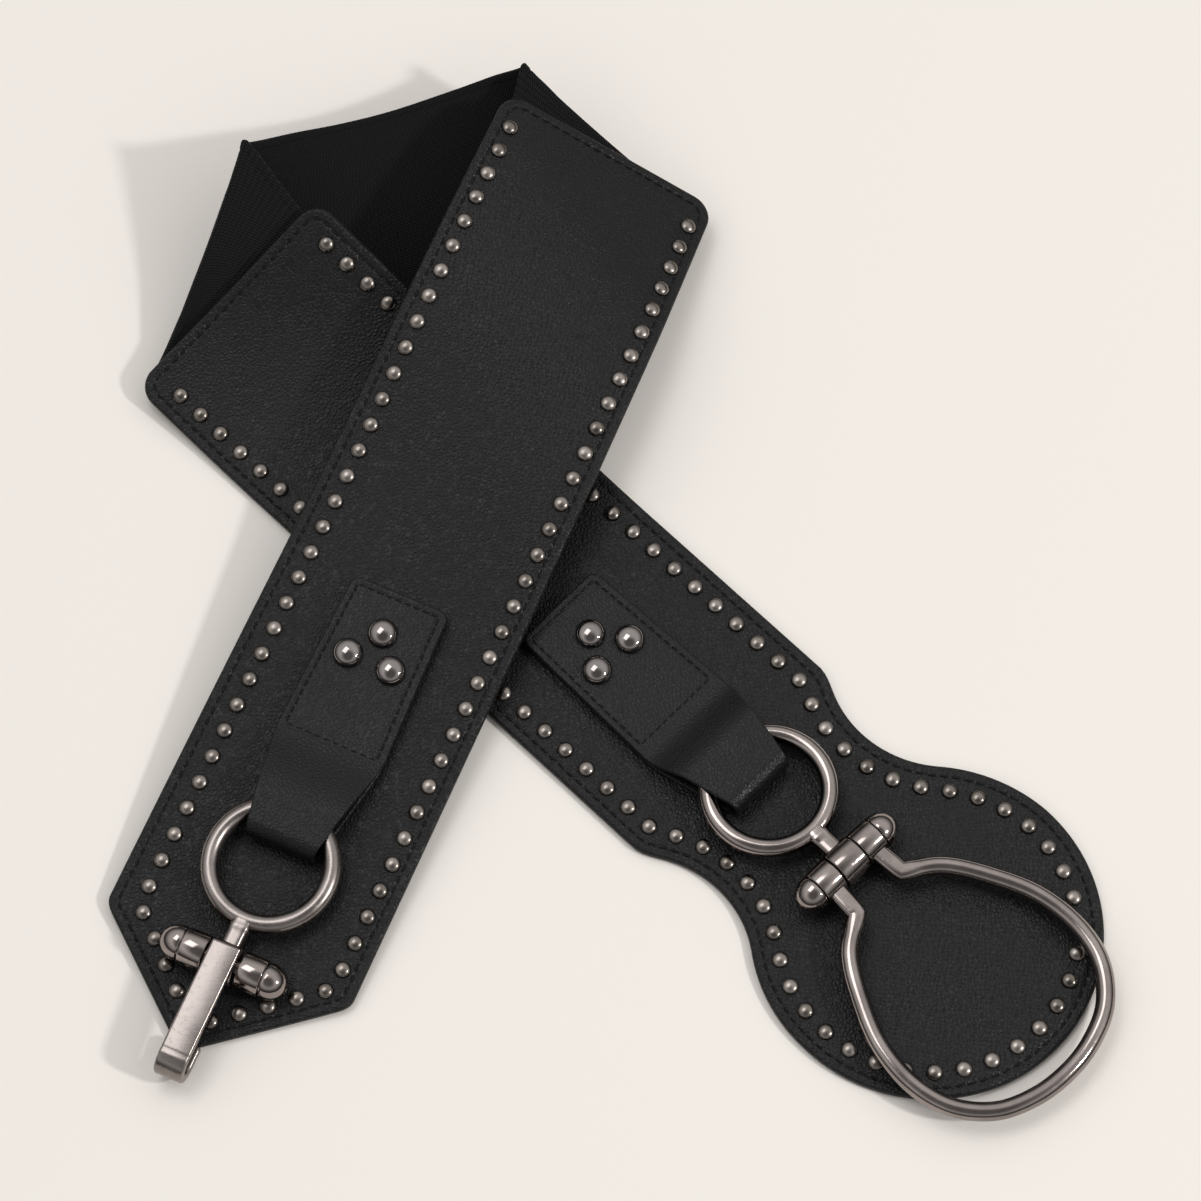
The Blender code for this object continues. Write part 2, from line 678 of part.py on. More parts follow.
def make_hinge_pin(parts, clasp, material):
    """The stirrup's hinge pin with its two domes, which keep the side knuckles on."""
    upper = dome_pin_profile(KNUCKLE_HALF + PIN_CLEARANCE + SIDE_LENGTH)
    profile = upper + [(radius, -height) for radius, height in reversed(upper)]
    return turned("hinge_pin", profile, 14, parts, clasp, ALONG_PIN, material)


def make_hook_crosspin(parts, clasp, material):
    """The cross bar through the hook's knuckle: side cylinders, grooves and domes in one."""
    inner = KNUCKLE_HALF + CROSSPIN_GAP
    outer = inner + SIDE_LENGTH
    base = outer + CROSSPIN_GROOVE
    neck = GROOVE_SHARE * DOME_RADIUS
    upper = dome_profile(DOME_RADIUS, base + DOME_RIM * DOME_LENGTH,
                         (1.0 - DOME_RIM) * DOME_LENGTH, 4)
    upper += [(DOME_RADIUS, base), (neck, base), (neck, outer), (SIDE_RADIUS, outer),
              (SIDE_RADIUS, inner), (PIN_RADIUS, inner)]
    profile = upper + [(radius, -height) for radius, height in reversed(upper)]
    return turned("hook_crosspin", profile, 14, parts, clasp, ALONG_PIN, material)


def hook_bar_outline():
    """The flat hook seen from its edge: its middle line as (out, height) over the pin's axis."""
    top = HOOK_BAR_RISE - HOOK_BAR_THICKNESS / 2.0
    radius = (HOOK_THROAT + HOOK_BAR_THICKNESS) / 2.0
    bend = HOOK_BAR_REACH - radius
    rows = [(-HOOK_BAR_HEEL, top), (0.0, top), (bend / 2.0, top), (bend, top)]
    for k in range(1, 9):
        a = math.pi / 2.0 - math.pi * k / 8.0
        rows.append((bend + radius * math.cos(a), top - radius + radius * math.sin(a)))
    rows.append((bend - HOOK_RETURN + radius, top - 2.0 * radius))
    return rows


def make_hook_bar(cutters, clasp):
    """The flat bar with its tip curled under, to be joined to the casting."""
    shares = (-1.0, 1.0)
    rows = [[(x, HOOK_BAR_HALF * share, z) for share in shares] for x, z in hook_bar_outline()]
    bar = as_cutter(add_object("hook_bar", grid_mesh("hook_bar", np.array(rows)), cutters, clasp))
    thicken(bar, HOOK_BAR_THICKNESS)
    bevel = bar.modifiers.new("edges", "BEVEL")
    bevel.width = HOOK_BEVEL
    bevel.segments = 1
    bevel.limit_method = "ANGLE"
    bevel.angle_limit = math.radians(60.0)
    return bar


def stirrup_half():
    """One arm of the stirrup's wire, from its side knuckle to the middle of the bow."""
    points = np.array([(out * STIRRUP_REACH, half * STIRRUP_REACH, 0.0)
                       for out, half in STIRRUP_OUTLINE])
    bow = points[1:]
    mirrored = np.concatenate([bow, (bow[-2] * (1.0, -1.0, 1.0))[None]])
    smooth = catmull_rom(mirrored, [2] * (len(bow) - 1) + [1])[:-1]
    return np.concatenate([points[:1], smooth[: 2 * (len(bow) - 1) + 1]])


def make_stirrup(parts, cutters, hinge, material):
    """Bow and two side knuckles in one, turning about the hinge guide's Y axis."""
    half = stirrup_half()
    path = np.concatenate([half, half[::-1][1:] * (1.0, -1.0, 1.0)])
    curve = bpy.data.curves.new("stirrup_wire", "CURVE")
    curve.dimensions = "3D"
    curve.bevel_depth = WIRE_RADIUS
    curve.bevel_resolution = 2
    curve.use_fill_caps = True
    spline = curve.splines.new("POLY")
    spline.points.add(len(path) - 1)
    for point, place in zip(spline.points, path):
        point.co = (*place, 1.0)
    wire = bpy.data.objects.new("stirrup_wire", curve)
    cutters.objects.link(wire)
    bpy.context.view_layer.update()
    mesh = bpy.data.meshes.new_from_object(
        wire.evaluated_get(bpy.context.evaluated_depsgraph_get()))
    bpy.data.objects.remove(wire, do_unlink=True)
    work = bmesh.new()
    work.from_mesh(mesh)
    bmesh.ops.remove_doubles(work, verts=work.verts, dist=0.00001)
    work.to_mesh(mesh)
    work.free()
    mesh.name = "stirrup"
    stirrup = add_object("stirrup", mesh, parts, hinge, material)
    middle = KNUCKLE_HALF + PIN_CLEARANCE + SIDE_LENGTH / 2.0
    for word, side in (("left", 1.0), ("right", -1.0)):
        place = Matrix.Translation((0.0, side * middle, 0.0)) @ ALONG_PIN
        knuckle = as_cutter(add_cylinder(f"stirrup_{word}_knuckle", SIDE_RADIUS, SIDE_LENGTH,
                                         place, 16, cutters, hinge))
        add_boolean(stirrup, knuckle, "UNION")
    bore = as_cutter(add_cylinder("stirrup_bore", PIN_RADIUS + PIN_CLEARANCE,
                                  4.0 * (KNUCKLE_HALF + SIDE_LENGTH), ALONG_PIN, 12,
                                  cutters, hinge))
    add_boolean(stirrup, bore, "DIFFERENCE")
    return stirrup


def panel_matrix(tip, heading, slope, height):
    turn = Matrix.Rotation(math.radians(heading), 4, "Z")
    rise = Matrix.Rotation(math.radians(-slope), 4, "Y")
    return Matrix.Translation((tip[0], tip[1], height)) @ turn @ rise


def clasp_matrix(side, radius):
    """The pin's axis is Y, X runs out towards the tip and Z is up from the panel."""
    place = Matrix.Translation((side["pin"], side["across"], pin_height(radius)))
    return place @ Matrix.Rotation(math.radians(180.0 + side["turn"]), 4, "Z")


def stirrup_droop():
    """The stirrup rests on the studs near its far end, so it leans down from the pin."""
    rest_at = STIRRUP_RESTS_AT * STIRRUP_REACH
    room = pin_height(KNUCKLE_RADIUS) - LEATHER / 2.0 - STUD_HEIGHT - SEAT_GAP - WIRE_RADIUS
    return math.asin(room / rest_at)


def hook_tip_height():
    """How high the sloping part would start so that the levelled tip lies on the surface."""
    station, _, radius, turn, _ = HOOK_PANEL_BENDS[0]
    tip = bend_points(np.array([[0.0, 0.0, -LEATHER / 2.0]]), HOOK_PANEL_BENDS[:1],
                      HOOK_PANEL_LENGTH)[0]
    slope = math.radians(HOOK_PANEL_SLOPE)
    return -(tip[0] * math.sin(slope) + tip[2] * math.cos(slope))


def rest_on_floor(parts, guides):
    """Brings the middle of the whole belt's box over the origin, with its lowest point at 0."""
    bpy.context.view_layer.update()
    depsgraph = bpy.context.evaluated_depsgraph_get()
    corners = []
    for item in parts.objects:
        evaluated = item.evaluated_get(depsgraph)
        mesh = evaluated.to_mesh()
        points = np.empty(len(mesh.vertices) * 3)
        mesh.vertices.foreach_get("co", points)
        matrix = np.array(evaluated.matrix_world)
        world = points.reshape(-1, 3) @ matrix[:3, :3].T + matrix[:3, 3]
        corners += [world.min(axis=0), world.max(axis=0)]
        evaluated.to_mesh_clear()
    low, high = np.min(corners, axis=0), np.max(corners, axis=0)
    shift = Vector((-(low[0] + high[0]) / 2.0, -(low[1] + high[1]) / 2.0, -low[2]))
    for item in guides:
        item.location += shift


def main():
    clear_scene()
    parts = make_collection("wide_elastic_belt")
    cutters = make_collection("cutters")
    guides = make_collection("guides")
    leather = make_material("black_leather", LEATHER_COLOUR, 0.45, 0.0)
    elastic_black = make_material("black_elastic", ELASTIC_COLOUR, 0.9, 0.0)
    metal = make_material("gunmetal", METAL_COLOUR, 0.2, 1.0)

    hook_guide = add_guide("hook_side", panel_matrix(
        HOOK_PANEL_TIP, HOOK_PANEL_HEADING, HOOK_PANEL_SLOPE, hook_tip_height()), guides)
    stirrup_guide = add_guide("stirrup_side", panel_matrix(
        STIRRUP_PANEL_TIP, STIRRUP_PANEL_HEADING, 0.0, LEATHER / 2.0), guides)
    bpy.context.view_layer.update()

    hook_studs = stud_domes("hook_panel_studs", hook_stud_path(), HOOK_PANEL_BENDS,
                            HOOK_PANEL_LENGTH, cutters, hook_guide)
    make_panel("hook_panel", hook_panel_edges,
               tip_stations(HOOK_PANEL_LENGTH, HOOK_TIP_LENGTH * 1.2, 6, 18),
               HOOK_PANEL_BENDS, HOOK_PANEL_LENGTH, hook_studs, parts, hook_guide, leather)
    stirrup_studs = stud_domes("stirrup_panel_studs", stirrup_stud_path(), STIRRUP_PANEL_BENDS,
                               STIRRUP_PANEL_LENGTH, cutters, stirrup_guide)
    make_panel("stirrup_panel", stirrup_panel_edges,
               tip_stations(STIRRUP_PANEL_LENGTH, DISC_RADIUS, 8, 21),
               STIRRUP_PANEL_BENDS, STIRRUP_PANEL_LENGTH, stirrup_studs, parts, stirrup_guide,
               leather)
    elastic = make_elastic(parts, hook_guide, stirrup_guide, elastic_black)

    make_tab("hook_tab", HOOK_SIDE, parts, hook_guide, leather)
    make_tab("stirrup_tab", STIRRUP_SIDE, parts, stirrup_guide, leather)
    make_rivets("hook", HOOK_SIDE, parts, hook_guide, metal)
    make_rivets("stirrup", STIRRUP_SIDE, parts, stirrup_guide, metal)

    hook_clasp = add_guide("hook_clasp", clasp_matrix(HOOK_SIDE, KNUCKLE_RADIUS), guides,
                           hook_guide)
    hook, hook_bore = make_ring_casting("hook_casting", parts, cutters, hook_clasp, metal)
    add_boolean(hook, make_hook_bar(cutters, hook_clasp), "UNION")
    add_boolean(hook, hook_bore, "DIFFERENCE")
    make_hook_crosspin(parts, hook_clasp, metal)

    ring_clasp = add_guide("ring_clasp", clasp_matrix(STIRRUP_SIDE, KNUCKLE_RADIUS), guides,
                           stirrup_guide)
    ring, ring_bore = make_ring_casting("ring_casting", parts, cutters, ring_clasp, metal)
    add_boolean(ring, ring_bore, "DIFFERENCE")
    make_hinge_pin(parts, ring_clasp, metal)
    hinge = add_guide("stirrup_hinge", Matrix.Rotation(stirrup_droop(), 4, "Y"), guides,
                      ring_clasp)
    make_stirrup(parts, cutters, hinge, metal)

    rest_on_floor(parts, (hook_guide, stirrup_guide, elastic))


main()
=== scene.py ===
"""Looks of the wide elastic belt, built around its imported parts. Metres, +Z up.

Each leather panel is drawn flat, with s running from its free tip to the elastic, t across it and
n out of its face, and is then bent over a short table of bends, as its solid is.
"""

import math

import bpy
import numpy as np
from mathutils import Matrix, Vector


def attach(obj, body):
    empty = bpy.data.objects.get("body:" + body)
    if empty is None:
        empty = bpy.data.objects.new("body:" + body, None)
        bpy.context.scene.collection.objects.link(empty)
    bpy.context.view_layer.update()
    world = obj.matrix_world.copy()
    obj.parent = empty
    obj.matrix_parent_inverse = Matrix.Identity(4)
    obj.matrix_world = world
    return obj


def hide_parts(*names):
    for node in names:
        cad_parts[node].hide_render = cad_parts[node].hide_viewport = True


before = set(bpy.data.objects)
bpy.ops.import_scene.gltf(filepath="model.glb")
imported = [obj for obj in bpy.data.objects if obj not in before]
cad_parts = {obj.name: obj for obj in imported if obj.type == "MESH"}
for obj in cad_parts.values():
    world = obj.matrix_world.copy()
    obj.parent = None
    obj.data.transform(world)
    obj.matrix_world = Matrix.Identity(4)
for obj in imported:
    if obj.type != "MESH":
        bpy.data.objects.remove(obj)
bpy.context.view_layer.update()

MM = 0.001

# Sizes shared with the solids. The studs, the tabs' closing and the elastic's folds
# are drawn a little closer to the photo here than in the solids
LEATHER = 2.6 * MM
SEAT_GAP = 0.3 * MM
HOOK_PANEL_LENGTH = 300.0 * MM
HOOK_PANEL_END_HALF = 35.4 * MM
HOOK_PANEL_LEFT_HALF = 39.6 * MM
HOOK_PANEL_RIGHT_HALF = 36.8 * MM
HOOK_TIP_LENGTH = 31.0 * MM
HOOK_TIP_OFFSET = 1.5 * MM
HOOK_TIP_BLUNTNESS = 0.04
HOOK_TAPER_POWER = 1.5
STIRRUP_PANEL_LENGTH = 330.0 * MM
STIRRUP_PANEL_HALF = 38.4 * MM
DISC_RADIUS = 49.7 * MM
DISC_OFFSET = -1.9 * MM
DISC_OFFSET_FADE = 0.6
NECK_HALF = 31.3 * MM
NECK_STATION = 102.0 * MM
SHOULDER_BLEND = 3.0 * MM
CORNER_RADIUS = 7.0 * MM

STUD_RADIUS = 2.4 * MM
STUD_HEIGHT = 1.6 * MM
STUD_SPACING = 8.33 * MM
STUD_ROW_HALF = 30.2 * MM
STUD_INSET = 7.4 * MM
STUD_TIP_INSET = 5.3 * MM
STUD_END_MARGIN = 11.6 * MM

ELASTIC_WIDTH = 66.0 * MM
ELASTIC_THICKNESS = 1.5 * MM
ELASTIC_LAP = 10.0 * MM

TAB_LEATHER = 1.5 * MM
TAB_LAYER_GAP = 0.3 * MM
TAB_END_HALF = 15.0 * MM
TAB_SHOULDER_HALF = 16.6 * MM
TAB_FOLD_HALF = 10.5 * MM
TAB_CLOSING = 4.0 * MM
WIRE_CLEARANCE = 0.35 * MM

RIVET_RADIUS = 4.4 * MM
RIVET_HEIGHT = 3.4 * MM
RIVET_SPREAD = 6.7 * MM
RIVET_STEP = 9.2 * MM
DOME_RIM = 0.2
TAB_TOP = LEATHER / 2.0 + SEAT_GAP + 2.0 * TAB_LEATHER + TAB_LAYER_GAP

WIRE_RADIUS = 2.75 * MM
RING_RADIUS = 17.4 * MM
RING_TO_PIN = 30.8 * MM
SHANK_RADIUS = 2.9 * MM
KNUCKLE_RADIUS = 5.85 * MM
KNUCKLE_HALF = 4.4 * MM
SIDE_RADIUS = 5.5 * MM
SIDE_LENGTH = 7.2 * MM
PIN_RADIUS = 2.2 * MM
PIN_CLEARANCE = 0.3 * MM
DOME_LENGTH = 6.8 * MM
DOME_RADIUS = 5.3 * MM
DOME_STRAIGHT = 0.14
CROSSPIN_GAP = 0.9 * MM
CROSSPIN_GROOVE = 0.35 * MM
GROOVE_SHARE = 0.8
HOOK_BAR_HALF = 4.35 * MM
HOOK_BAR_THICKNESS = 2.8 * MM
HOOK_BAR_REACH = 35.0 * MM
HOOK_BAR_HEEL = 4.2 * MM
HOOK_BAR_RISE = 7.6 * MM
HOOK_THROAT = 6.2 * MM
HOOK_RETURN = 11.0 * MM
HOOK_BEVEL = 0.7 * MM

# Where each panel's tip lies, the way it runs in plan, and its slope
HOOK_PANEL_PLACE = (-118.674 * MM, -137.644 * MM, -0.463 * MM)
HOOK_PANEL_HEADING = 65.8
HOOK_PANEL_SLOPE = 5.0
STIRRUP_PANEL_PLACE = (123.826 * MM, -138.244 * MM, 1.323 * MM)
STIRRUP_PANEL_HEADING = 135.8

HOOK_PANEL_BENDS = [
    # station, skew, radius, turn, side
    (0.112, 0.0, 1.00, 5.0, -1),
    (0.465, 0.0, 1.53, 10.0, 1),
    (0.632, 34.0, 0.50, -23.0, 1),
    (0.879, 32.0, 0.20, -11.0, 1),
]
STIRRUP_PANEL_BENDS = [
    (0.710, 50.0, 0.39, 29.0, 1),
]
STIRRUP_FOLD = {
    "north": (-0.254, 0.305), "south": (0.033, -0.018), "height": 0.480,
    "north_radius": 0.013, "south_radius": 0.022, "out": 155.0,
    "north_back": 0.0, "south_back": 0.030, "follow": 1.0, "bow": 0.035,
}
HOOK_FOLD = {
    "north": (0.046, 0.165), "south": (-0.022, -0.036), "height": 0.409,
    "north_radius": 0.013, "south_radius": 0.024, "out": 58.0,
    "north_back": -0.025, "south_back": 0.040, "follow": 1.0, "bow": 0.055,
}
MIDDLE_SHEET = [
    # along, out, height, stirrup_sag, hook_sag
    (0.19, 0.034, 0.350, 0.45, 0.0),
    (0.35, 0.049, 0.275, 0.15, 0.0),
    (0.52, 0.052, 0.245, 0.0, 0.0),
    (0.77, 0.048, 0.275, 0.0, 0.1),
    (0.90, 0.036, 0.320, 0.0, 0.3),
]
FOLD_ANGLES = (112, 68, 24, -20, -64)
FOLD_SAG = (1.0, 0.95, 0.90, 0.85, 0.75)

HOOK_SIDE = {
    "fold": 63.0 * MM, "shoulder": 95.0 * MM, "end": 145.0 * MM,
    "pin": 26.2 * MM, "across": 0.2 * MM, "turn": 0.0, "rivets": 122.7 * MM,
    "stitch_from": 97.0 * MM,
}
STIRRUP_SIDE = {
    "fold": 111.2 * MM, "shoulder": 138.4 * MM, "end": 192.6 * MM,
    "pin": 78.4 * MM, "across": 1.6 * MM, "turn": -1.2, "rivets": 170.1 * MM,
    "stitch_from": 145.3 * MM,
}
STIRRUP_REACH = 86.0 * MM
STIRRUP_RESTS_AT = 0.87
STIRRUP_OUTLINE = [
    # out, half_width
    (0.035, 0.095),
    (0.150, 0.103),
    (0.226, 0.216),
    (0.372, 0.310),
    (0.517, 0.371),
    (0.681, 0.386),
    (0.820, 0.349),
    (0.930, 0.253),
    (0.985, 0.125),
    (1.000, 0.0),
]

# Fine detail that only shows here
EDGE_ROUND = 0.9 * MM
STITCH_INSET = 3.0 * MM
STITCH_LENGTH = 2.7 * MM
STITCH_SPACING = 3.5 * MM
THREAD = 0.31 * MM
GROOVE_DEPTH = 0.2 * MM
GROOVE_WIDTH = 0.5 * MM
TAB_STITCH_INSET = 2.2 * MM
TAB_STITCH_LENGTH = 2.3 * MM
TAB_STITCH_SPACING = 2.95 * MM
TAB_CORNER = 2.6 * MM
SELVEDGE = 2.7 * MM
SELVEDGE_STEP = 0.12 * MM
ELASTIC_EDGE_ROUND = 0.6 * MM
THREAD_SUNK = 0.12 * MM
RIVET_GAP = 0.05 * MM
TAB_BLEND = 0.8 * MM
DRUM_FILLET = 0.55 * MM
SIDE_FILLET = 0.5 * MM
STITCH_LEAN = math.radians(5.0)
TAB_STITCH_LEAN = math.radians(4.0)
BAR_LINE_BACK = 1.0 * MM
BAR_LINE_GAP = 2.2 * MM
# The next four give the depth and the width of a groove or a flare
SELVEDGE_GROOVE = 0.22 * MM, 0.35 * MM
TAB_GROOVE = 0.2 * MM, 0.4 * MM
BAR_LINE = 0.16 * MM, 0.25 * MM
SHANK_FLARE = 0.2 * MM, 1.0 * MM
TAB_EDGE_ROUND = 0.55 * MM
STUD_RIM = 0.16
SHANK_SHARE = 0.93
STUB_SQUARE = 1.6
CROSSPIN_FILLET = 0.4 * MM
STITCH_TIP = 0.53
STITCH_RINGS = [
    # place, size, lift
    (-0.5, 0.45, -0.9), (-0.38, 0.92, -0.15), (0.0, 1.0, 0.35), (0.38, 0.92, -0.15),
    (0.5, 0.45, -0.9),
]

# How fine the meshes are. Offsets from an edge crowd at its rounding and at its stitches
QUARTER = math.pi / 2.0
UP = np.array([0.0, 0.0, 1.0])
ALONG_PIN = Matrix.Rotation(math.radians(-90.0), 4, "X")
FRAME_STEP = 0.5 * MM
ROW_SPACING = 2.0 * MM
TIP_ROWS = 60
OUTLINE_POINTS = 900
STEEPEST = 2.2
CROWDED_SHARE = 0.42
RING_STEPS = 112
BAR_ROWS = 60
PANEL_COLUMNS = 26
TAB_COLUMNS = 14
ELASTIC_COLUMNS = 28
TURNED_SIDES = 48
STUD_SIDES = 18
RIVET_SIDES = 40
SHARP_FROM = 50.0
PANEL_OFFSETS = np.array([0.0, 0.08, 0.2, 0.4, 0.65, 0.95, 1.4, 1.9, 2.3, 2.55, 2.8, 3.0, 3.2,
                          3.45, 3.7, 4.1, 4.8]) * MM
TAB_OFFSETS = np.array([0.0, 0.1, 0.25, 0.5, 0.8, 1.2, 1.6, 1.9, 2.2, 2.5, 2.9, 3.5]) * MM
TAB_END_OFFSETS = np.array([0.0, 0.1, 0.25, 0.5, 0.8, 1.2, 1.7, 2.2, 2.7, 3.3]) * MM
ELASTIC_OFFSETS = np.array([0.0, 0.12, 0.35, 0.8, 1.4, 2.0, 2.3, 2.5, 2.7, 2.9, 3.1, 3.5]) * MM

# Colours of the materials, dark and light, and the weave's two pitches in millimetres
LEATHER_TONES = (0.0055, 0.0055, 0.0058), (0.0085, 0.0085, 0.0088)
EDGE_TONES = (0.010, 0.010, 0.0105), (0.030, 0.030, 0.030)
THREAD_TONES = (0.002, 0.002, 0.0023), (0.010, 0.010, 0.0105)
# The elastic's dark tone is painted shade, laid in the weave's hollows
ELASTIC_TONES = (0.0010, 0.0010, 0.0012), (0.017, 0.017, 0.0178)
FLOOR_TONES = (0.865, 0.822, 0.776), (0.875, 0.832, 0.786)
RIB_MM = 1.15
CORD_MM = 0.85
METALS = [
    # name, dark, light, rough_low, rough_high, scratches
    ("aged_studs", (0.13, 0.115, 0.10), (0.36, 0.32, 0.295), 0.2, 0.34, 0.5),
    # The studs' lower half: dark patina, and a painted shade that stands in for the gap round each
    # stud
    ("stud_patina_and_gap_shade", (0.035, 0.031, 0.028), (0.10, 0.09, 0.08), 0.35, 0.5, 0.4),
    ("polished_dark_nickel", (0.23, 0.20, 0.19), (0.36, 0.315, 0.297), 0.08, 0.15, 0.12),
    ("mirror_domes", (0.22, 0.20, 0.195), (0.29, 0.265, 0.255), 0.04, 0.08, 0.05),
    ("satin_dark_nickel", (0.20, 0.175, 0.165), (0.32, 0.283, 0.268), 0.22, 0.33, 0.4),
]

# The camera as the photo was taken
CAMERA_TARGET = (-2.9 * MM, -1.4 * MM, 0.0)
CAMERA_ELEVATION = 68.0
CAMERA_DISTANCE = 1.5
CAMERA_FIELD = 13.24

# Studio light: one small key from the right, one broad light overhead, pale air round them
KEY_PLACE = (2.43, -0.84, 2.07)
KEY_SIZE = 0.26
KEY_POWER = 40.0
TOP_PLACE = (-0.62, 0.50, 2.35)
TOP_SIZE = (1.3, 0.9)
TOP_POWER = 11.5
KEY_COLOUR = (1.0, 0.99, 0.97)
WORLD_COLOUR = (1.0, 0.995, 0.985, 1.0)
WORLD_LOW = 0.05
WORLD_OVERHEAD = 1.0
WORLD_RISE = (0.08, 0.78)
# Round the camera the air is dark, as it is in a real studio; cosines of the angle to it
DARK_FROM = 0.97
DARK_TO = 0.74
DARK_SHARE = 0.22


def smooth_min(a, b, blend):
    h = np.clip(0.5 + 0.5 * (b - a) / blend, 0.0, 1.0)
    return b + (a - b) * h - blend * h * (1.0 - h)


def drawn_in(into, radius):
    """How far a rounded corner draws an edge in, at a depth into the corner."""
    return radius - np.sqrt(np.maximum(radius ** 2 - into ** 2, 0.0))


def rounding(distance, radius):
    """How far a rounded edge lowers a face at a distance from the edge."""
    return drawn_in(radius - np.minimum(distance, radius), radius)


def groove(away, depth, width):
    """How deep a soft groove is, at a distance away from its middle."""
    return depth * np.exp(-(away / width) ** 2)


def unit(vectors):
    return vectors / np.linalg.norm(vectors, axis=-1, keepdims=True)


def run_along(path):
    """How far along a path each of its points lies."""
    return np.concatenate([[0.0], np.cumsum(np.linalg.norm(np.diff(path, axis=0), axis=1))])


def left_of(along):
    """Flat directions turned a quarter to the left."""
    return np.stack([-along[:, 1], along[:, 0]], axis=1)


def between(low, high, inner):
    """Two crowded rows of positions, joined by even ones."""
    return np.concatenate([low, np.linspace(low[-1], high[0], inner + 2)[1:-1], high])


def moved(points, matrix):
    m = np.array(matrix)
    return np.asarray(points) @ m[:3, :3].T + m[:3, 3]


def bend_points(flat, bends, length):
    """Bends flat points (s, t, n) over every row of a table of bends."""
    s, t = flat[..., 0], flat[..., 1]
    placed = flat.copy()
    order = sorted(bends, key=lambda row: -row[0] * row[4])
    for station, skew, radius, turn, side in order:
        c, d = math.cos(math.radians(skew)), math.sin(math.radians(skew))
        start, radius = station * length, radius * length
        sign = math.copysign(1.0, turn)
        past = side * ((s - start) * c - t * d)
        used = np.clip(past, 0.0, radius * math.radians(abs(turn)))
        angle = used / radius
        x, y, n = placed[..., 0] - start, placed[..., 1], placed[..., 2]
        along = side * (x * c - y * d) - used
        across = x * d + y * c
        lift = n - sign * radius
        new_along = along * np.cos(angle) - lift * np.sin(angle) * sign
        new_n = along * np.sin(angle) * sign + lift * np.cos(angle) + sign * radius
        bent = past > 0.0
        along = np.where(bent, new_along, along)
        n = np.where(bent, new_n, n)
        placed = np.stack([side * along * c + across * d + start,
                           across * c - side * along * d, n], axis=-1)
    return placed


def corner_cut(s, length):
    """How far a rounded end corner draws a straight edge in."""
    return drawn_in(np.clip(s - (length - CORNER_RADIUS), 0.0, CORNER_RADIUS), CORNER_RADIUS)


def hook_panel_edges(s):
    """Half widths (left, right) of the pointed panel."""
    share = np.clip(s / HOOK_PANEL_LENGTH, 0.0, 1.0)
    ends = []
    for half, offset in ((HOOK_PANEL_LEFT_HALF, HOOK_TIP_OFFSET),
                         (HOOK_PANEL_RIGHT_HALF, -HOOK_TIP_OFFSET)):
        straight = half + (HOOK_PANEL_END_HALF - half) * share ** HOOK_TAPER_POWER
        point = offset + (half - offset) * (s / HOOK_TIP_LENGTH + HOOK_TIP_BLUNTNESS)
        width = smooth_min(straight, point, SHOULDER_BLEND)
        ends.append(width - corner_cut(s, HOOK_PANEL_LENGTH))
    return ends[0], ends[1]


def stirrup_panel_edges(s):
    """Half widths (left, right) of the panel with the round end."""
    run = NECK_STATION - DISC_RADIUS
    neck_radius = ((run ** 2 + NECK_HALF ** 2 - DISC_RADIUS ** 2)
                   / (2.0 * (DISC_RADIUS - NECK_HALF)))
    disc = np.sqrt(np.maximum(DISC_RADIUS ** 2 - (s - DISC_RADIUS) ** 2, 0.0))
    touch = DISC_RADIUS + run * DISC_RADIUS / (DISC_RADIUS + neck_radius)
    from_neck = np.clip(np.abs(s - NECK_STATION), 0.0, neck_radius)
    neck = NECK_HALF + neck_radius - np.sqrt(neck_radius ** 2 - from_neck ** 2)
    body = smooth_min(neck, np.full_like(s, STIRRUP_PANEL_HALF), SHOULDER_BLEND)
    body = np.where(s > NECK_STATION + neck_radius, STIRRUP_PANEL_HALF, body)
    half = np.where(s < touch, disc, np.where(s < NECK_STATION, neck, body))
    half = half - corner_cut(s, STIRRUP_PANEL_LENGTH)
    before = np.clip(1.0 - s / (NECK_STATION + DISC_RADIUS / 2.0), 0.0, DISC_OFFSET_FADE)
    drift = DISC_OFFSET * before / DISC_OFFSET_FADE
    return half + drift, half - drift


class Panel:
    """A leather panel: its outline, its bends and where it lies."""

    def __init__(self, name, edges, length, tip, bends, place, heading, slope):
        self.name, self.edges, self.length, self.tip, self.bends = name, edges, length, tip, bends
        turn = Matrix.Rotation(math.radians(heading), 4, "Z")
        rise = Matrix.Rotation(math.radians(-slope), 4, "Y")
        self.matrix = Matrix.Translation(place) @ turn @ rise

    def world(self, flat):
        """Flat points (s, t, n) bent and laid in place."""
        return moved(bend_points(flat, self.bends, self.length), self.matrix)

    def outline(self):
        """Flat points round the whole edge, from the left end corner round the tip and back."""
        near = (1.0 - np.cos(np.linspace(0.0, QUARTER, OUTLINE_POINTS // 3))) * self.tip
        far = np.linspace(self.tip, self.length - CORNER_RADIUS, OUTLINE_POINTS)[1:]
        round_end = np.linspace(0.0, QUARTER, 24)[1:]
        corner = self.length - CORNER_RADIUS * (1.0 - np.sin(round_end))
        s = np.concatenate([near, far, corner])
        left, right = self.edges(s)
        loop = np.concatenate([np.stack([s, left], 1)[::-1], np.stack([s, -right], 1)])
        keep = np.ones(len(loop), bool)
        keep[1:] = np.linalg.norm(np.diff(loop, axis=0), axis=1) > 0.01 * MM
        return loop[keep]

    def rows(self):
        """Stations along the panel, crowded at its tip and at its end."""
        near = (1.0 - np.cos(np.linspace(math.radians(1.5), QUARTER, TIP_ROWS))) * self.tip
        body = np.arange(self.tip + 0.9 * ROW_SPACING, self.length - CORNER_RADIUS, ROW_SPACING)
        return between(np.concatenate([near, body]), self.length - PANEL_OFFSETS[::-1], 3)


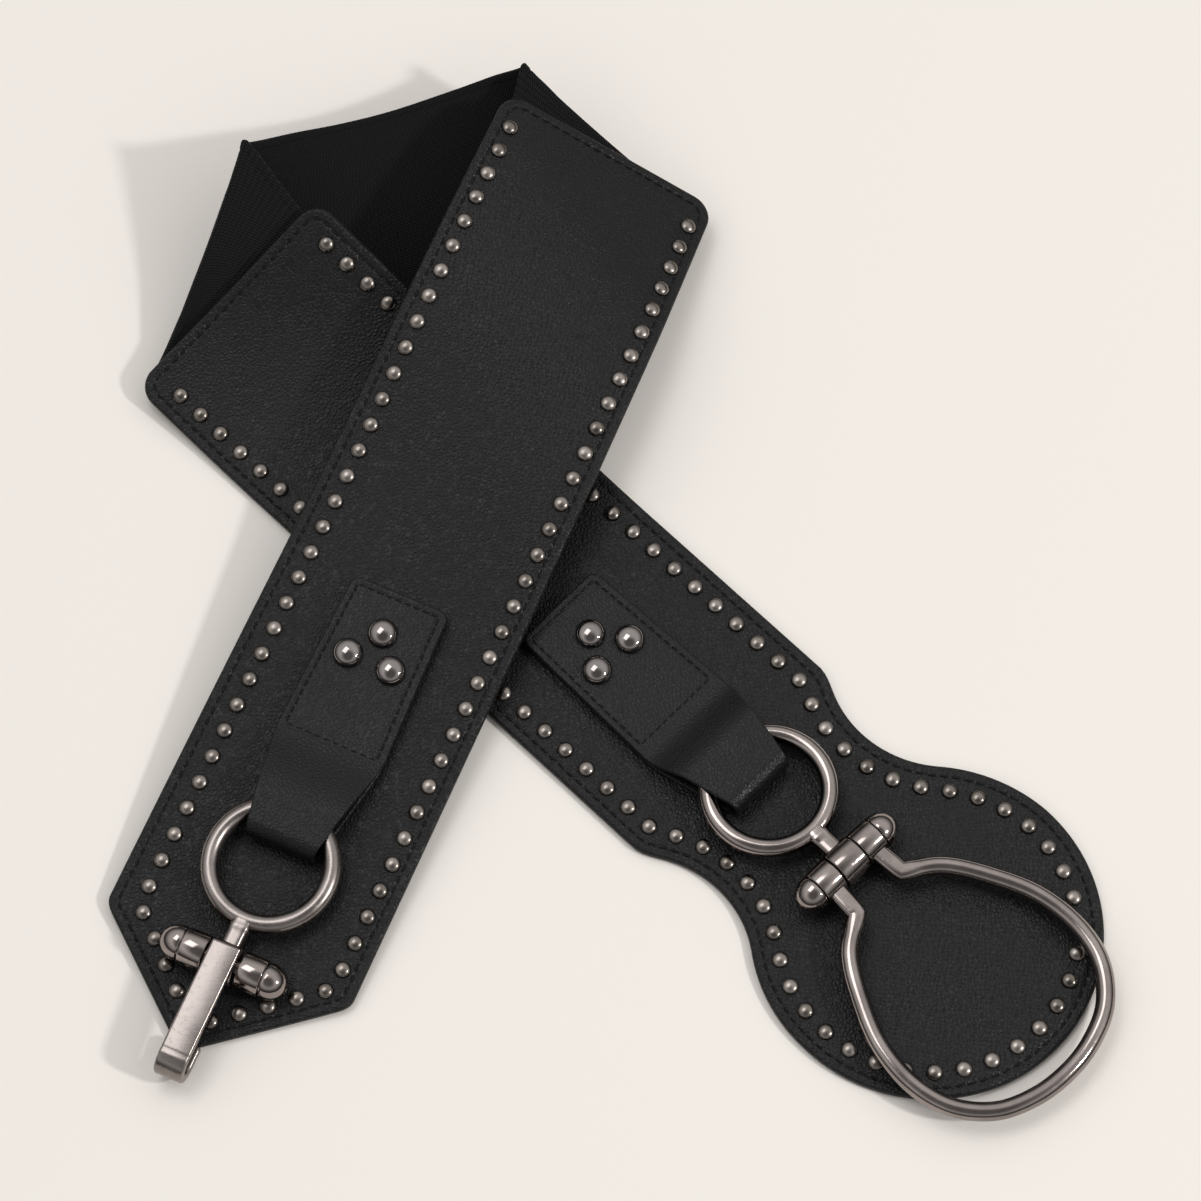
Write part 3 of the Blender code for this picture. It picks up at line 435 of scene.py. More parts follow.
def distance_to_loop(points, loop):
    """Distance of flat points to a closed outline."""
    a = loop
    b = np.roll(loop, -1, axis=0)
    run = b - a
    length2 = np.maximum((run ** 2).sum(1), 1e-18)
    nearest = np.empty(len(points))
    for k in range(0, len(points), 2000):
        part = points[k:k + 2000, None, :] - a[None]
        share = np.clip((part * run).sum(2) / length2, 0.0, 1.0)
        nearest[k:k + 2000] = np.sqrt(((part - share[..., None] * run) ** 2).sum(2)).min(1)
    return nearest


def border_distance(flat, loop):
    """Distance of a grid of flat points to its outline, with its own border at 0."""
    distance = distance_to_loop(flat.reshape(-1, 2), loop).reshape(flat.shape[:2])
    distance[[0, -1]] = 0.0
    distance[:, [0, -1]] = 0.0
    return distance


def resample(path, spacing, closed=False):
    """Points at an equal spacing, close to the one asked for, and the way they face."""
    if closed:
        path = np.concatenate([path, path[:1]])
    run = run_along(path)
    count = int(round(run[-1] / spacing)) + (0 if closed else 1)
    wanted = np.linspace(0.0, run[-1], count, endpoint=not closed)

    def points_at(places):
        return np.stack([np.interp(places, run, column) for column in path.T], 1)

    facing = (points_at(np.clip(wanted + spacing / 4.0, 0.0, run[-1]))
              - points_at(np.clip(wanted - spacing / 4.0, 0.0, run[-1])))
    return points_at(wanted), np.arctan2(facing[:, 1], facing[:, 0])


def inset_loop(loop, inset):
    """A closed outline moved inwards, without the loops that sharp corners would give."""
    along = unit(np.roll(loop, -1, axis=0) - np.roll(loop, 1, axis=0))
    inner = loop + left_of(along) * inset
    return inner[distance_to_loop(inner, loop) > inset * 0.985]


def make_mesh(name, points, faces, groups=None):
    mesh = bpy.data.meshes.new(name)
    mesh.from_pydata([tuple(p) for p in points], [], faces)
    if groups is not None:
        mesh.polygons.foreach_set("material_index", groups)
    mesh.polygons.foreach_set("use_smooth", [True] * len(mesh.polygons))
    mesh.update()
    return mesh


def add_object(name, data):
    item = bpy.data.objects.new(name, data)
    bpy.context.scene.collection.objects.link(item)
    return item


def add_piece(name, mesh, materials, replaced=(), body="belt"):
    item = add_object(name, mesh)
    for material in materials:
        mesh.materials.append(material)
    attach(item, body)
    if replaced:
        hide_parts(*replaced)
    return item


def grid_faces(rows, columns, start=0, flip=False):
    faces = []
    for r in range(rows - 1):
        for c in range(columns - 1):
            a = start + r * columns + c
            face = (a, a + 1, a + columns + 1, a + columns)
            faces.append(face[::-1] if flip else face)
    return faces


def slab(top, bottom):
    """A closed slab between two grids of points: its vertices, faces and which faces are rim."""
    rows, columns = top.shape[:2]
    count = rows * columns
    points = np.concatenate([top.reshape(-1, 3), bottom.reshape(-1, 3)])
    faces = grid_faces(rows, columns) + grid_faces(rows, columns, count, flip=True)
    broad = len(faces)
    ids = np.arange(count).reshape(rows, columns)
    ring = np.concatenate([ids[0], ids[1:, -1], ids[-1, -2::-1], ids[-2:0:-1, 0]]).tolist()
    for a, b in zip(ring, ring[1:] + ring[:1]):
        faces.append((b, a, a + count, b + count))
    return points, faces, [0] * broad + [1] * (len(faces) - broad)


def panel_columns(left, right, steep_left, steep_right):
    """Positions across one row: crowded near both edges, even between them."""
    most = CROWDED_SHARE * (left + right) / PANEL_OFFSETS[-1]
    low = -right + PANEL_OFFSETS * min(steep_right, most)
    high = left - PANEL_OFFSETS[::-1] * min(steep_left, most)
    return between(low, high, PANEL_COLUMNS)


def make_panel(panel, leather, edge):
    stations = panel.rows()
    halves = panel.edges(stations)
    steep = [np.minimum(np.sqrt(1.0 + np.gradient(half, stations) ** 2), STEEPEST)
             for half in halves]
    t = np.array([panel_columns(*row) for row in zip(*halves, *steep)])
    flat = np.stack([np.repeat(stations[:, None], t.shape[1], 1), t], axis=-1)
    distance = border_distance(flat, panel.outline())
    drop = rounding(distance, EDGE_ROUND)
    seam = groove(distance - STITCH_INSET, GROOVE_DEPTH, GROOVE_WIDTH)
    top, bottom = (panel.world(np.concatenate([flat, height[..., None]], axis=-1))
                   for height in (LEATHER / 2.0 - drop - seam, drop - LEATHER / 2.0))
    name = panel.name + "_leather"
    add_piece(name, make_mesh(name, *slab(top, bottom)), [leather, edge],
              (panel.name,))


def scatter(name, panel, places, angles, height, shape, materials, groups=None,
            replaced=()):
    """One mesh of copies of a small shape, at flat places of a panel and turned by angles."""
    base = np.concatenate([places, np.full((len(places), 1), height)], axis=1)
    here = panel.world(base)
    axes = []
    for x, y in ((np.cos(angles), np.sin(angles)), (-np.sin(angles), np.cos(angles))):
        aside = base + np.stack([x, y, np.zeros(len(angles))], 1) * FRAME_STEP
        axes.append((panel.world(aside) - here) / FRAME_STEP)
    axes.append(np.cross(*axes))
    template, template_faces = shape
    points = here[:, None] + sum(axis[:, None] * template[None, :, k:k + 1]
                                 for k, axis in enumerate(axes))
    faces = [tuple(v + k * len(template) for v in face) for k in range(len(here))
             for face in template_faces]
    groups = None if groups is None else list(groups) * len(here)
    mesh = make_mesh(name, points.reshape(-1, 3), faces, groups)
    add_piece(name, mesh, materials, replaced)


def lathe(profile, sides):
    """A closed turned shape about Z: rows of (radius, height) from its top to its bottom."""
    points, loops = [], []
    for radius, height in profile:
        if radius < 1e-7:
            loops.append([len(points)])
            points.append((0.0, 0.0, height))
            continue
        loops.append(list(range(len(points), len(points) + sides)))
        for k in range(sides):
            a = 2.0 * math.pi * k / sides
            points.append((radius * math.cos(a), radius * math.sin(a), height))
    faces = []
    for upper, lower in zip(loops, loops[1:]):
        for k in range(sides):
            j = (k + 1) % sides
            if len(upper) == 1:
                faces.append((upper[0], lower[k], lower[j]))
            elif len(lower) == 1:
                faces.append((upper[k], lower[0], upper[j]))
            else:
                faces.append((upper[k], lower[k], lower[j], upper[j]))
    return np.array(points), faces


def double_lathe(upper):
    """A turned shape about Z from the rows of its upper half, with its lower half the same."""
    return lathe(upper + [(r, -z) for r, z in reversed(upper)], TURNED_SIDES)


def stitch_shape(length, radius):
    """A short thread along X, round in section, that dips at both ends."""
    sides = 8
    points = [(-STITCH_TIP * length, 0.0, -1.2 * radius)]
    for x, size, lift in STITCH_RINGS:
        for k in range(sides):
            a = 2.0 * math.pi * k / sides
            points.append((x * length, radius * size * math.sin(a),
                           radius * (lift + size * math.cos(a))))
    points.append((STITCH_TIP * length, 0.0, -1.2 * radius))
    faces = []
    last = 1 + (len(STITCH_RINGS) - 1) * sides
    for k in range(sides):
        j = (k + 1) % sides
        faces.append((0, 1 + j, 1 + k))
        for a in range(1, last, sides):
            faces.append((a + k, a + j, a + sides + j, a + sides + k))
        faces.append((last + k, last + j, len(points) - 1))
    return np.array(points), faces


def edge_stitches(panel, thread):
    loop = inset_loop(panel.outline(), STITCH_INSET)
    places, angles = resample(loop, STITCH_SPACING, closed=True)
    scatter(panel.name + "_stitches", panel, places, angles + STITCH_LEAN,
            LEATHER / 2.0 - 0.6 * GROOVE_DEPTH, stitch_shape(STITCH_LENGTH, THREAD), [thread])


def hook_stud_path():
    """Two straight rows, joined by two that run along the point's cut edges."""
    top = HOOK_PANEL_LENGTH - STUD_END_MARGIN
    slant = math.hypot(HOOK_TIP_LENGTH, HOOK_PANEL_LEFT_HALF)
    apex = STUD_TIP_INSET * slant / HOOK_PANEL_LEFT_HALF
    corner = apex + STUD_ROW_HALF * HOOK_TIP_LENGTH / HOOK_PANEL_LEFT_HALF + STUD_RADIUS
    return np.array([(top, STUD_ROW_HALF), (corner, STUD_ROW_HALF), (apex, HOOK_TIP_OFFSET),
                     (corner, -STUD_ROW_HALF), (top, -STUD_ROW_HALF)])


def stirrup_stud_path():
    """The panel's outline moved inwards, from one elastic corner round the disc to the other."""
    turn = np.linspace(0.0, math.pi, 60)
    s = (1.0 - np.cos(turn)) / 2.0 * (NECK_STATION + DISC_RADIUS)
    s = np.concatenate([s, np.linspace(s[-1], STIRRUP_PANEL_LENGTH - STUD_END_MARGIN, 20)[1:]])
    left, right = stirrup_panel_edges(s)
    outline = np.concatenate([np.stack([s, left], 1)[::-1], np.stack([s, -right], 1)[1:]])
    return outline + left_of(unit(np.gradient(outline, axis=0))) * STUD_INSET


def stud_shape():
    """A low dome on a short straight rim, sunk a little into the leather."""
    profile = [(0.0, STUD_HEIGHT)]
    for k in range(1, 7):
        a = QUARTER * k / 6
        profile.append((STUD_RADIUS * math.sin(a),
                        STUD_HEIGHT * (STUD_RIM + (1.0 - STUD_RIM) * math.cos(a))))
    sunk = -0.3 * STUD_HEIGHT
    profile += [(STUD_RADIUS * 1.02, 0.02 * STUD_HEIGHT), (STUD_RADIUS * 0.9, sunk), (0.0, sunk)]
    return lathe(profile, STUD_SIDES)


def edge_studs(panel, path, metal, patina_and_gap_shade):
    places, angles = resample(path, STUD_SPACING)
    points, faces = stud_shape()
    # Faces of the stud's lower half take the dark rim: patina, and painted shade for the gap round
    # the stud
    groups = [int(max(points[v][2] for v in face) < STUD_HEIGHT * 0.5) for face in faces]
    scatter(panel.name + "_studs", panel, places, angles, LEATHER / 2.0, (points, faces),
            [metal, patina_and_gap_shade], groups)


def share_between(k, first, last, a, b):
    """What lies between a, at first, and b, at last."""
    return (last - k) / (last - first) * a + (k - first) / (last - first) * b


def catmull_rom(points, steps):
    """A smooth curve through every row of points, with steps[i] pieces in span i."""
    ends = np.concatenate([[2 * points[0] - points[1]], points, [2 * points[-1] - points[-2]]])
    knots = np.concatenate([[0.0], np.cumsum(
        np.sqrt(np.linalg.norm(np.diff(ends[:, :3], axis=0), axis=1)))])
    curve = []
    for i, count in enumerate(steps):
        p0, p1, p2, p3 = ends[i:i + 4]
        k0, k1, k2, k3 = knots[i:i + 4]
        for k in np.linspace(k1, k2, count + 1)[:-1]:
            a1 = share_between(k, k0, k1, p0, p1)
            a2 = share_between(k, k1, k2, p1, p2)
            a3 = share_between(k, k2, k3, p2, p3)
            b1 = share_between(k, k0, k2, a1, a2)
            b2 = share_between(k, k1, k3, a2, a3)
            curve.append(share_between(k, k1, k2, b1, b2))
    curve.append(points[-1])
    return np.array(curve)


def elastic_shares():
    """Positions across the elastic, crowded at its two bound edges."""
    near = ELASTIC_OFFSETS / ELASTIC_WIDTH
    return between(near, 1.0 - near[::-1], ELASTIC_COLUMNS)


def straight_row(north, south):
    shares = elastic_shares()[:, None]
    return (north * (1.0 - shares) + south * shares).ravel()


def fold_rows(corner_north, corner_south, fold):
    """Straight rows across the elastic where it turns over."""
    width = ELASTIC_WIDTH
    south_radius, north_radius = fold["south_radius"] * width, fold["north_radius"] * width
    north = np.array([corner_north[0] + fold["north"][0] * width,
                      corner_north[1] + fold["north"][1] * width, fold["height"] * width])
    south = np.array([corner_south[0] + fold["south"][0] * width,
                      corner_south[1] + fold["south"][1] * width,
                      south_radius + ELASTIC_THICKNESS / 2.0])
    out = math.radians(fold["out"])
    outward = np.array([math.cos(out), math.sin(out), 0.0])
    shares = elastic_shares()[:, None]
    bow = (outward * -fold["bow"] * width * 4.0 * shares * (1.0 - shares)).ravel()
    rows = []
    for degrees in FOLD_ANGLES:
        a = math.radians(degrees)
        reach = outward * math.cos(a) + np.array([0.0, 0.0, math.sin(a)])
        row = straight_row(north + reach * north_radius, south + reach * south_radius)
        rows.append(row + bow * max(math.cos(a), 0.3))
    return rows


def seated_row(end, fold, lap):
    """A row under the panel's end, which follows the leather's own curve."""
    shares = elastic_shares()
    backs = lap + ELASTIC_WIDTH * (fold["north_back"] * (1.0 - shares)
                                   + fold["south_back"] * shares)
    return np.array([end(back, share) for back, share in zip(backs, shares)]).ravel()


def elastic_sheet(stirrup_end, hook_end):
    """The middle surface of the elastic: rows along it, columns across it."""
    sides = []
    for end, fold in ((stirrup_end, STIRRUP_FOLD), (hook_end, HOOK_FOLD)):
        inner, outer = seated_row(end, fold, ELASTIC_LAP), seated_row(end, fold, 0.0)
        sag = (outer - straight_row(outer[:3], outer[-3:])) * fold["follow"]
        folded = [row + sag * share
                  for row, share in zip(fold_rows(end(0.0, 0.0), end(0.0, 1.0), fold), FOLD_SAG)]
        sides.append(([inner, outer] + folded, sag))
    (first, first_sag), (last, last_sag) = sides
    start, stop = first[-1] - first_sag * FOLD_SAG[-1], last[-1] - last_sag * FOLD_SAG[-1]
    run = stop[:3] - start[:3]
    side = np.array([-run[1], run[0], 0.0]) / np.linalg.norm(run[:2])
    middle = []
    for along, out, height, first_share, last_share in MIDDLE_SHEET:
        north = start[:3] + run * along + side * out * ELASTIC_WIDTH
        north[2] = height * ELASTIC_WIDTH
        row = straight_row(north, start[-3:] + (stop[-3:] - start[-3:]) * along)
        middle.append(row + first_sag * first_share + last_sag * last_share)
    steps = ([5, 12] + [5] * 4 + [9] + [10] * (len(MIDDLE_SHEET) - 1) + [9] + [5] * 4 + [9, 5])
    rows = catmull_rom(np.array(first + middle + last[::-1]), steps)
    return rows.reshape(len(rows), -1, 3)


def panel_end(panel, side):
    """Where the elastic lies under a panel's end, by how far back and by the share across."""
    under = -(LEATHER / 2.0 + SEAT_GAP + ELASTIC_THICKNESS / 2.0)

    def place(back, share):
        return panel.world(np.array([panel.length - back, side * (share - 0.5) * ELASTIC_WIDTH,
                                     under]))

    return place


def make_elastic(hook_panel, stirrup_panel, material):
    name = "elastic_band_woven"
    sheet = elastic_sheet(panel_end(stirrup_panel, 1.0), panel_end(hook_panel, -1.0))
    normal = unit(np.cross(np.gradient(sheet, axis=0), np.gradient(sheet, axis=1)))
    shares = elastic_shares()
    from_edge = np.minimum(shares, 1.0 - shares) * ELASTIC_WIDTH
    half = ELASTIC_THICKNESS / 2.0 - rounding(from_edge, ELASTIC_EDGE_ROUND)
    half = half - groove(from_edge - SELVEDGE, *SELVEDGE_GROOVE)
    half = half - SELVEDGE_STEP * (from_edge > SELVEDGE)
    lift = normal * half[None, :, None]
    mesh = make_mesh(name, *slab(sheet + lift, sheet - lift)[:2])
    steps = np.linalg.norm(np.diff(sheet, axis=0), axis=2)
    along = np.concatenate([np.zeros((1, len(shares))), np.cumsum(steps, axis=0)]).mean(axis=1)
    u = np.tile(shares * ELASTIC_WIDTH, len(sheet)) / MM
    v = np.repeat(along, len(shares)) / MM
    layer = mesh.uv_layers.new(name="weave")
    for corner in mesh.loops:
        k = corner.vertex_index % len(u)
        layer.data[corner.index].uv = (u[k], v[k])
    item = add_piece(name, mesh, [material], ("elastic_band",))


def tab_path(side):
    """Middle line of the folded strip as rows of (s, n), from the lower end round to the upper."""
    low = LEATHER / 2.0 + SEAT_GAP + TAB_LEATHER / 2.0
    closed = low + TAB_LEATHER + TAB_LAYER_GAP
    opened = low + TAB_LEATHER + 2.0 * (WIRE_RADIUS + WIRE_CLEARANCE)
    radius = (opened - low) / 2.0
    start, end = side["fold"] + radius, side["end"]
    wire = side["pin"] + RING_TO_PIN + RING_RADIUS
    closing = side["shoulder"] + TAB_CLOSING - wire
    rows = [(s, low) for s in np.linspace(end, start, 60)[:-1]]
    for a in np.linspace(-math.pi / 2.0, -1.5 * math.pi, 28):
        rows.append((start + radius * math.cos(a), low + radius + radius * math.sin(a)))
    rows += [(s, opened) for s in np.linspace(start, wire, 8)[1:-1]]
    for share in np.linspace(0.0, 1.0, 24):
        ease = share * share * (3.0 - 2.0 * share)
        rows.append((wire + closing * share, opened + (closed - opened) * ease))
    rows += [(s, closed) for s in np.linspace(wire + closing, end, 40)[1:]]
    return np.array(rows)


def tab_half(s, side):
    """Half width of the tab, with its shoulder rounded a little."""
    rise = TAB_FOLD_HALF + ((TAB_SHOULDER_HALF - TAB_FOLD_HALF)
                            * (s - side["fold"]) / (side["shoulder"] - side["fold"]))
    fall = TAB_SHOULDER_HALF + ((TAB_END_HALF - TAB_SHOULDER_HALF)
                                * (s - side["shoulder"]) / (side["end"] - side["shoulder"]))
    return np.maximum(smooth_min(rise, fall, TAB_BLEND), TAB_FOLD_HALF)


def refine_ends(path):
    """Adds points close to both ends of a path, for its rounded corners."""
    fine = TAB_END_OFFSETS
    first = path[0] + unit(path[1] - path[0]) * fine[:, None]
    last = path[-1] + unit(path[-2] - path[-1]) * fine[::-1, None]
    inner = path[(np.abs(path[:, 0] - path[0, 0]) > fine[-1])
                 | (path[:, 1] > path[0, 1] + TAB_LEATHER * 2.0)]
    return np.concatenate([first, inner, last])


def make_tab(name, side, panel, leather, edge):
    path = refine_ends(tab_path(side))
    run = run_along(path)
    half = tab_half(path[:, 0], side) - rounding(np.minimum(run, run[-1] - run), TAB_CORNER)
    t = np.array([between(-h + TAB_OFFSETS, h - TAB_OFFSETS[::-1], TAB_COLUMNS) for h in half])
    flat = np.stack([np.repeat(run[:, None], t.shape[1], 1), t], axis=-1)
    loop = np.concatenate([np.stack([run, -half], 1), np.stack([run, half], 1)[::-1]])
    thick = TAB_LEATHER / 2.0 - rounding(border_distance(flat, loop), TAB_EDGE_ROUND)
    normal = left_of(unit(np.gradient(path, axis=0)))
    if normal[-1, 1] < 0.0:
        normal = -normal
    grids = []
    for sign, cut in ((1.0, stitch_groove(t, path, run, side)), (-1.0, 0.0)):
        place = path[:, None] + normal[:, None] * (sign * (thick - cut))[..., None]
        s, n = place[..., 0], place[..., 1]
        grids.append(panel.world(np.stack([s, t + side["across"], n], axis=-1)))
    add_piece(name + "_leather", make_mesh(name + "_leather", *slab(*grids)), [leather, edge],
              (name,))


def tab_stitch_corners(side):
    """The stitched rectangle of the upper layer, as flat corners (s, t)."""
    far = side["end"] - TAB_STITCH_INSET
    near = side["stitch_from"]
    wide_far = TAB_END_HALF - TAB_STITCH_INSET
    wide_near = float(tab_half(np.array([near]), side)[0]) - TAB_STITCH_INSET
    return np.array([(near, -wide_near), (far, -wide_far), (far, wide_far), (near, wide_near)])


def stitch_groove(t, path, run, side):
    """How deep the stitched rectangle's groove is, on the upper layer alone."""
    upper = path[:, 1] > LEATHER / 2.0 + SEAT_GAP + TAB_LEATHER + TAB_LAYER_GAP / 2.0
    s = np.repeat(path[:, None, 0], t.shape[1], 1)
    points = np.stack([s, t], axis=-1).reshape(-1, 2)
    distance = distance_to_loop(points, tab_stitch_corners(side)).reshape(s.shape)
    late = run > run[-1] / 2.0
    return groove(distance, *TAB_GROOVE) * (upper & late)[:, None]


def tab_stitches(name, side, panel, thread):
    corners = tab_stitch_corners(side)
    places, angles = [], []
    for a, b in zip(corners, np.roll(corners, -1, axis=0)):
        points, facing = resample(np.array([a, b]), TAB_STITCH_SPACING)
        places.append((points[1:] + points[:-1]) / 2.0)
        angles.append(facing[1:])
    scatter(name + "_stitches", panel, np.concatenate(places) + (0.0, side["across"]),
            np.concatenate(angles) + TAB_STITCH_LEAN, TAB_TOP - THREAD_SUNK,
            stitch_shape(TAB_STITCH_LENGTH, THREAD * 0.9), [thread])


def dome_profile(radius, base, height, rows):
    """A dome's outer side from its top down to its rim: radius and height."""
    turns = [QUARTER * (1.0 - k / rows) for k in range(rows + 1)]
    return [(radius * math.cos(a), base + height * math.sin(a)) for a in turns]


def make_rivets(prefix, side, panel, metal):
    profile = dome_profile(RIVET_RADIUS * 0.985, DOME_RIM * RIVET_HEIGHT,
                           (1.0 - DOME_RIM) * RIVET_HEIGHT, 12)
    profile += [(RIVET_RADIUS, 0.1 * RIVET_HEIGHT), (RIVET_RADIUS * 0.97, 0.0), (0.0, 0.0)]
    places = [(RIVET_STEP, 0.0), (0.0, RIVET_SPREAD), (0.0, -RIVET_SPREAD)]
    for number, (ahead, across) in enumerate(places, start=1):
        place = np.array([[side["rivets"] + ahead, side["across"] + across]])
        name = f"{prefix}_rivet_{number}"
        scatter(name + "_dome", panel, place, np.zeros(1), TAB_TOP + RIVET_GAP,
                lathe(profile, RIVET_SIDES), [metal], replaced=(name,))


class Parts:
    """Several closed shapes gathered into one mesh."""

    def __init__(self):
        self.points, self.faces, self.count = [], [], 0

    def add(self, points, faces, matrix=Matrix.Identity(4)):
        self.points.append(moved(points, matrix))
        self.faces += [tuple(v + self.count for v in face) for face in faces]
        self.count += len(points)

    def piece(self, name, node, matrix, metal, body="belt"):
        mesh = make_mesh(name, moved(np.concatenate(self.points), matrix), self.faces)
        mesh.set_sharp_from_angle(angle=math.radians(SHARP_FROM))
        add_piece(name, mesh, [metal], (node,), body)


def rounded_drum(radius, half, fillet):
    """A short cylinder about Z with rounded rims."""
    turns = [QUARTER * k / 5 for k in range(6)]
    return double_lathe([(0.0, half)] + [(radius - fillet + fillet * math.sin(a),
                                          half - fillet + fillet * math.cos(a)) for a in turns])


def sweep(centres, ups, sections, closed=False):
    """A tube through centres. Each section is a loop of (up, side) points."""
    count = len(centres)
    if closed:
        ahead = unit(np.roll(centres, -1, axis=0) - np.roll(centres, 1, axis=0))
    else:
        ahead = unit(np.gradient(centres, axis=0))
    side = unit(np.cross(ahead, ups))
    up = np.cross(side, ahead)
    sides = sections.shape[1]
    points = (centres[:, None] + up[:, None] * sections[..., 0:1]
              + side[:, None] * sections[..., 1:2]).reshape(-1, 3)
    faces = []
    for r in range(count if closed else count - 1):
        for k in range(sides):
            j, q = (k + 1) % sides, (r + 1) % count
            faces.append((r * sides + k, q * sides + k, q * sides + j, r * sides + j))
    if not closed:
        faces.append(tuple(range(sides)))
        faces.append(tuple(range((count - 1) * sides, count * sides))[::-1])
    return points, faces


def round_section(radius, square, sides=24):
    """Loops of one radius, turned towards a rounded square by the shares in square."""
    a = 2.0 * math.pi * np.arange(sides) / sides
    power = (2.0 + 3.0 * square)[:, None]
    reach = radius / (np.abs(np.cos(a)) ** power + np.abs(np.sin(a)) ** power) ** (1.0 / power)
    return np.stack([reach * np.cos(a), reach * np.sin(a)], axis=-1)


def pin_height(radius):
    return LEATHER / 2.0 + SEAT_GAP + radius


def wire_height():
    return LEATHER / 2.0 + SEAT_GAP + TAB_LEATHER + WIRE_CLEARANCE + WIRE_RADIUS


def clasp_matrix(panel, side):
    """The pin's axis is Y, X runs out towards the tip and Z is up from the panel."""
    place = Matrix.Translation((side["pin"], side["across"], pin_height(KNUCKLE_RADIUS)))
    return panel.matrix @ place @ Matrix.Rotation(math.radians(180.0 + side["turn"]), 4, "Z")


def add_ring(parts):
    """Ring, flared shank and centre knuckle, in the clasp's own frame."""
    drop = wire_height() - pin_height(KNUCKLE_RADIUS)
    tilt = Matrix.Rotation(math.atan2(drop, RING_TO_PIN + RING_RADIUS), 4, "Y")
    a = 2.0 * math.pi * np.arange(RING_STEPS) / RING_STEPS
    centres = np.stack([RING_RADIUS * np.cos(a), RING_RADIUS * np.sin(a), 0.0 * a], 1)
    ring = sweep(centres, UP, round_section(WIRE_RADIUS, 0.0 * a), closed=True)
    parts.add(*ring, tilt @ Matrix.Translation((-RING_TO_PIN, 0.0, 0.0)))
    length = RING_TO_PIN - RING_RADIUS
    x = np.linspace(0.2 * WIRE_RADIUS - length, 0.0, 26)
    flare = groove(x + length - WIRE_RADIUS, *SHANK_FLARE)
    sections = round_section(1.0, np.ones(len(x)), 32)
    sections = sections * (SHANK_RADIUS * SHANK_SHARE + flare)[:, None, None]
    parts.add(*sweep(np.stack([x, 0.0 * x, 0.0 * x], 1), UP, sections), tilt)
    parts.add(*rounded_drum(KNUCKLE_RADIUS, KNUCKLE_HALF, DRUM_FILLET), ALONG_PIN)


def dome_end(inner, groove):
    """The upper half of a domed pin from its dome's top down to inner: rows of radius, height."""
    base = inner + groove
    straight = DOME_STRAIGHT * DOME_LENGTH
    rows = dome_profile(DOME_RADIUS, base + straight, DOME_LENGTH - straight, 16)
    rows += [(DOME_RADIUS, base + 0.3 * MM), (0.97 * DOME_RADIUS, base)]
    return rows


def make_pin(name, node, upper, matrix, metal):
    """A domed pin, from the rows of its upper half."""
    parts = Parts()
    parts.add(*double_lathe(upper), ALONG_PIN)
    parts.piece(name, node, matrix, metal)


def hinge_pin_rows():
    inner = KNUCKLE_HALF + PIN_CLEARANCE + SIDE_LENGTH
    return dome_end(inner, PIN_CLEARANCE) + [(PIN_RADIUS, inner + PIN_CLEARANCE)]


def crosspin_rows():
    inner = KNUCKLE_HALF + CROSSPIN_GAP
    outer = inner + SIDE_LENGTH
    neck = GROOVE_SHARE * DOME_RADIUS
    low, high = 0.3 * CROSSPIN_FILLET, CROSSPIN_FILLET
    return dome_end(outer, CROSSPIN_GROOVE) + [
        (neck, outer + CROSSPIN_GROOVE), (neck, outer), (SIDE_RADIUS - high, outer),
        (SIDE_RADIUS - low, outer - low), (SIDE_RADIUS, outer - high),
        (SIDE_RADIUS, inner + high), (SIDE_RADIUS - low, inner + low),
        (SIDE_RADIUS - high, inner), (PIN_RADIUS, inner)]


def hook_bar_path():
    """The flat hook seen from its edge: its middle line as (out, height) over the pin's axis."""
    top = HOOK_BAR_RISE - HOOK_BAR_THICKNESS / 2.0
    radius = (HOOK_THROAT + HOOK_BAR_THICKNESS) / 2.0
    bend = HOOK_BAR_REACH - radius
    rows = [(x, top) for x in np.linspace(-HOOK_BAR_HEEL, bend, BAR_ROWS)[:-1]]
    for a in np.linspace(QUARTER, -QUARTER, 30):
        rows.append((bend + radius * math.cos(a), top - radius + radius * math.sin(a)))
    back = np.linspace(bend, bend - HOOK_RETURN + radius, 8)[1:]
    rows += [(x, top - 2.0 * radius) for x in back]
    return np.array(rows), bend


def flat_section(half_thick, half_wide, bevel):
    """A rectangle with rounded corners: a loop of (up, side)."""
    loop = []
    for up, side, start in ((1, 1, 0.0), (-1, 1, 90.0), (-1, -1, 180.0), (1, -1, 270.0)):
        for k in range(5):
            a = math.radians(start + 22.5 * k)
            loop.append((up * (half_thick - bevel) + bevel * math.cos(a),
                         side * (half_wide - bevel) + bevel * math.sin(a)))
    return np.array(loop)


def make_hook(matrix, metal):
    parts = Parts()
    add_ring(parts)
    rows, bend = hook_bar_path()
    centres = np.stack([rows[:, 0], np.zeros(len(rows)), rows[:, 1]], 1)
    ups = np.cross((0.0, 1.0, 0.0), np.gradient(centres, axis=0))
    ups *= np.sign(ups[0, 2])
    thick = HOOK_BAR_THICKNESS / 2.0
    base = flat_section(thick, HOOK_BAR_HALF, HOOK_BEVEL)
    run = run_along(rows)
    inset = rounding(np.minimum(run, run[-1] - run), HOOK_BEVEL)
    first_line = run[np.searchsorted(rows[:BAR_ROWS, 0], bend - BAR_LINE_BACK)]
    lines = sum(groove(run - first_line - gap, *BAR_LINE) for gap in (0.0, BAR_LINE_GAP))
    grow_up = (thick - inset - lines) / thick
    grow_side = (HOOK_BAR_HALF - inset - lines * 0.4) / HOOK_BAR_HALF
    sections = np.stack([base[None, :, 0] * grow_up[:, None],
                         base[None, :, 1] * grow_side[:, None]], axis=-1)
    parts.add(*sweep(centres, ups, sections))
    parts.piece("hook_and_ring", "hook_casting", matrix, metal)


def make_ring(matrix, metal):
    parts = Parts()
    add_ring(parts)
    parts.piece("stirrup_ring", "ring_casting", matrix, metal)


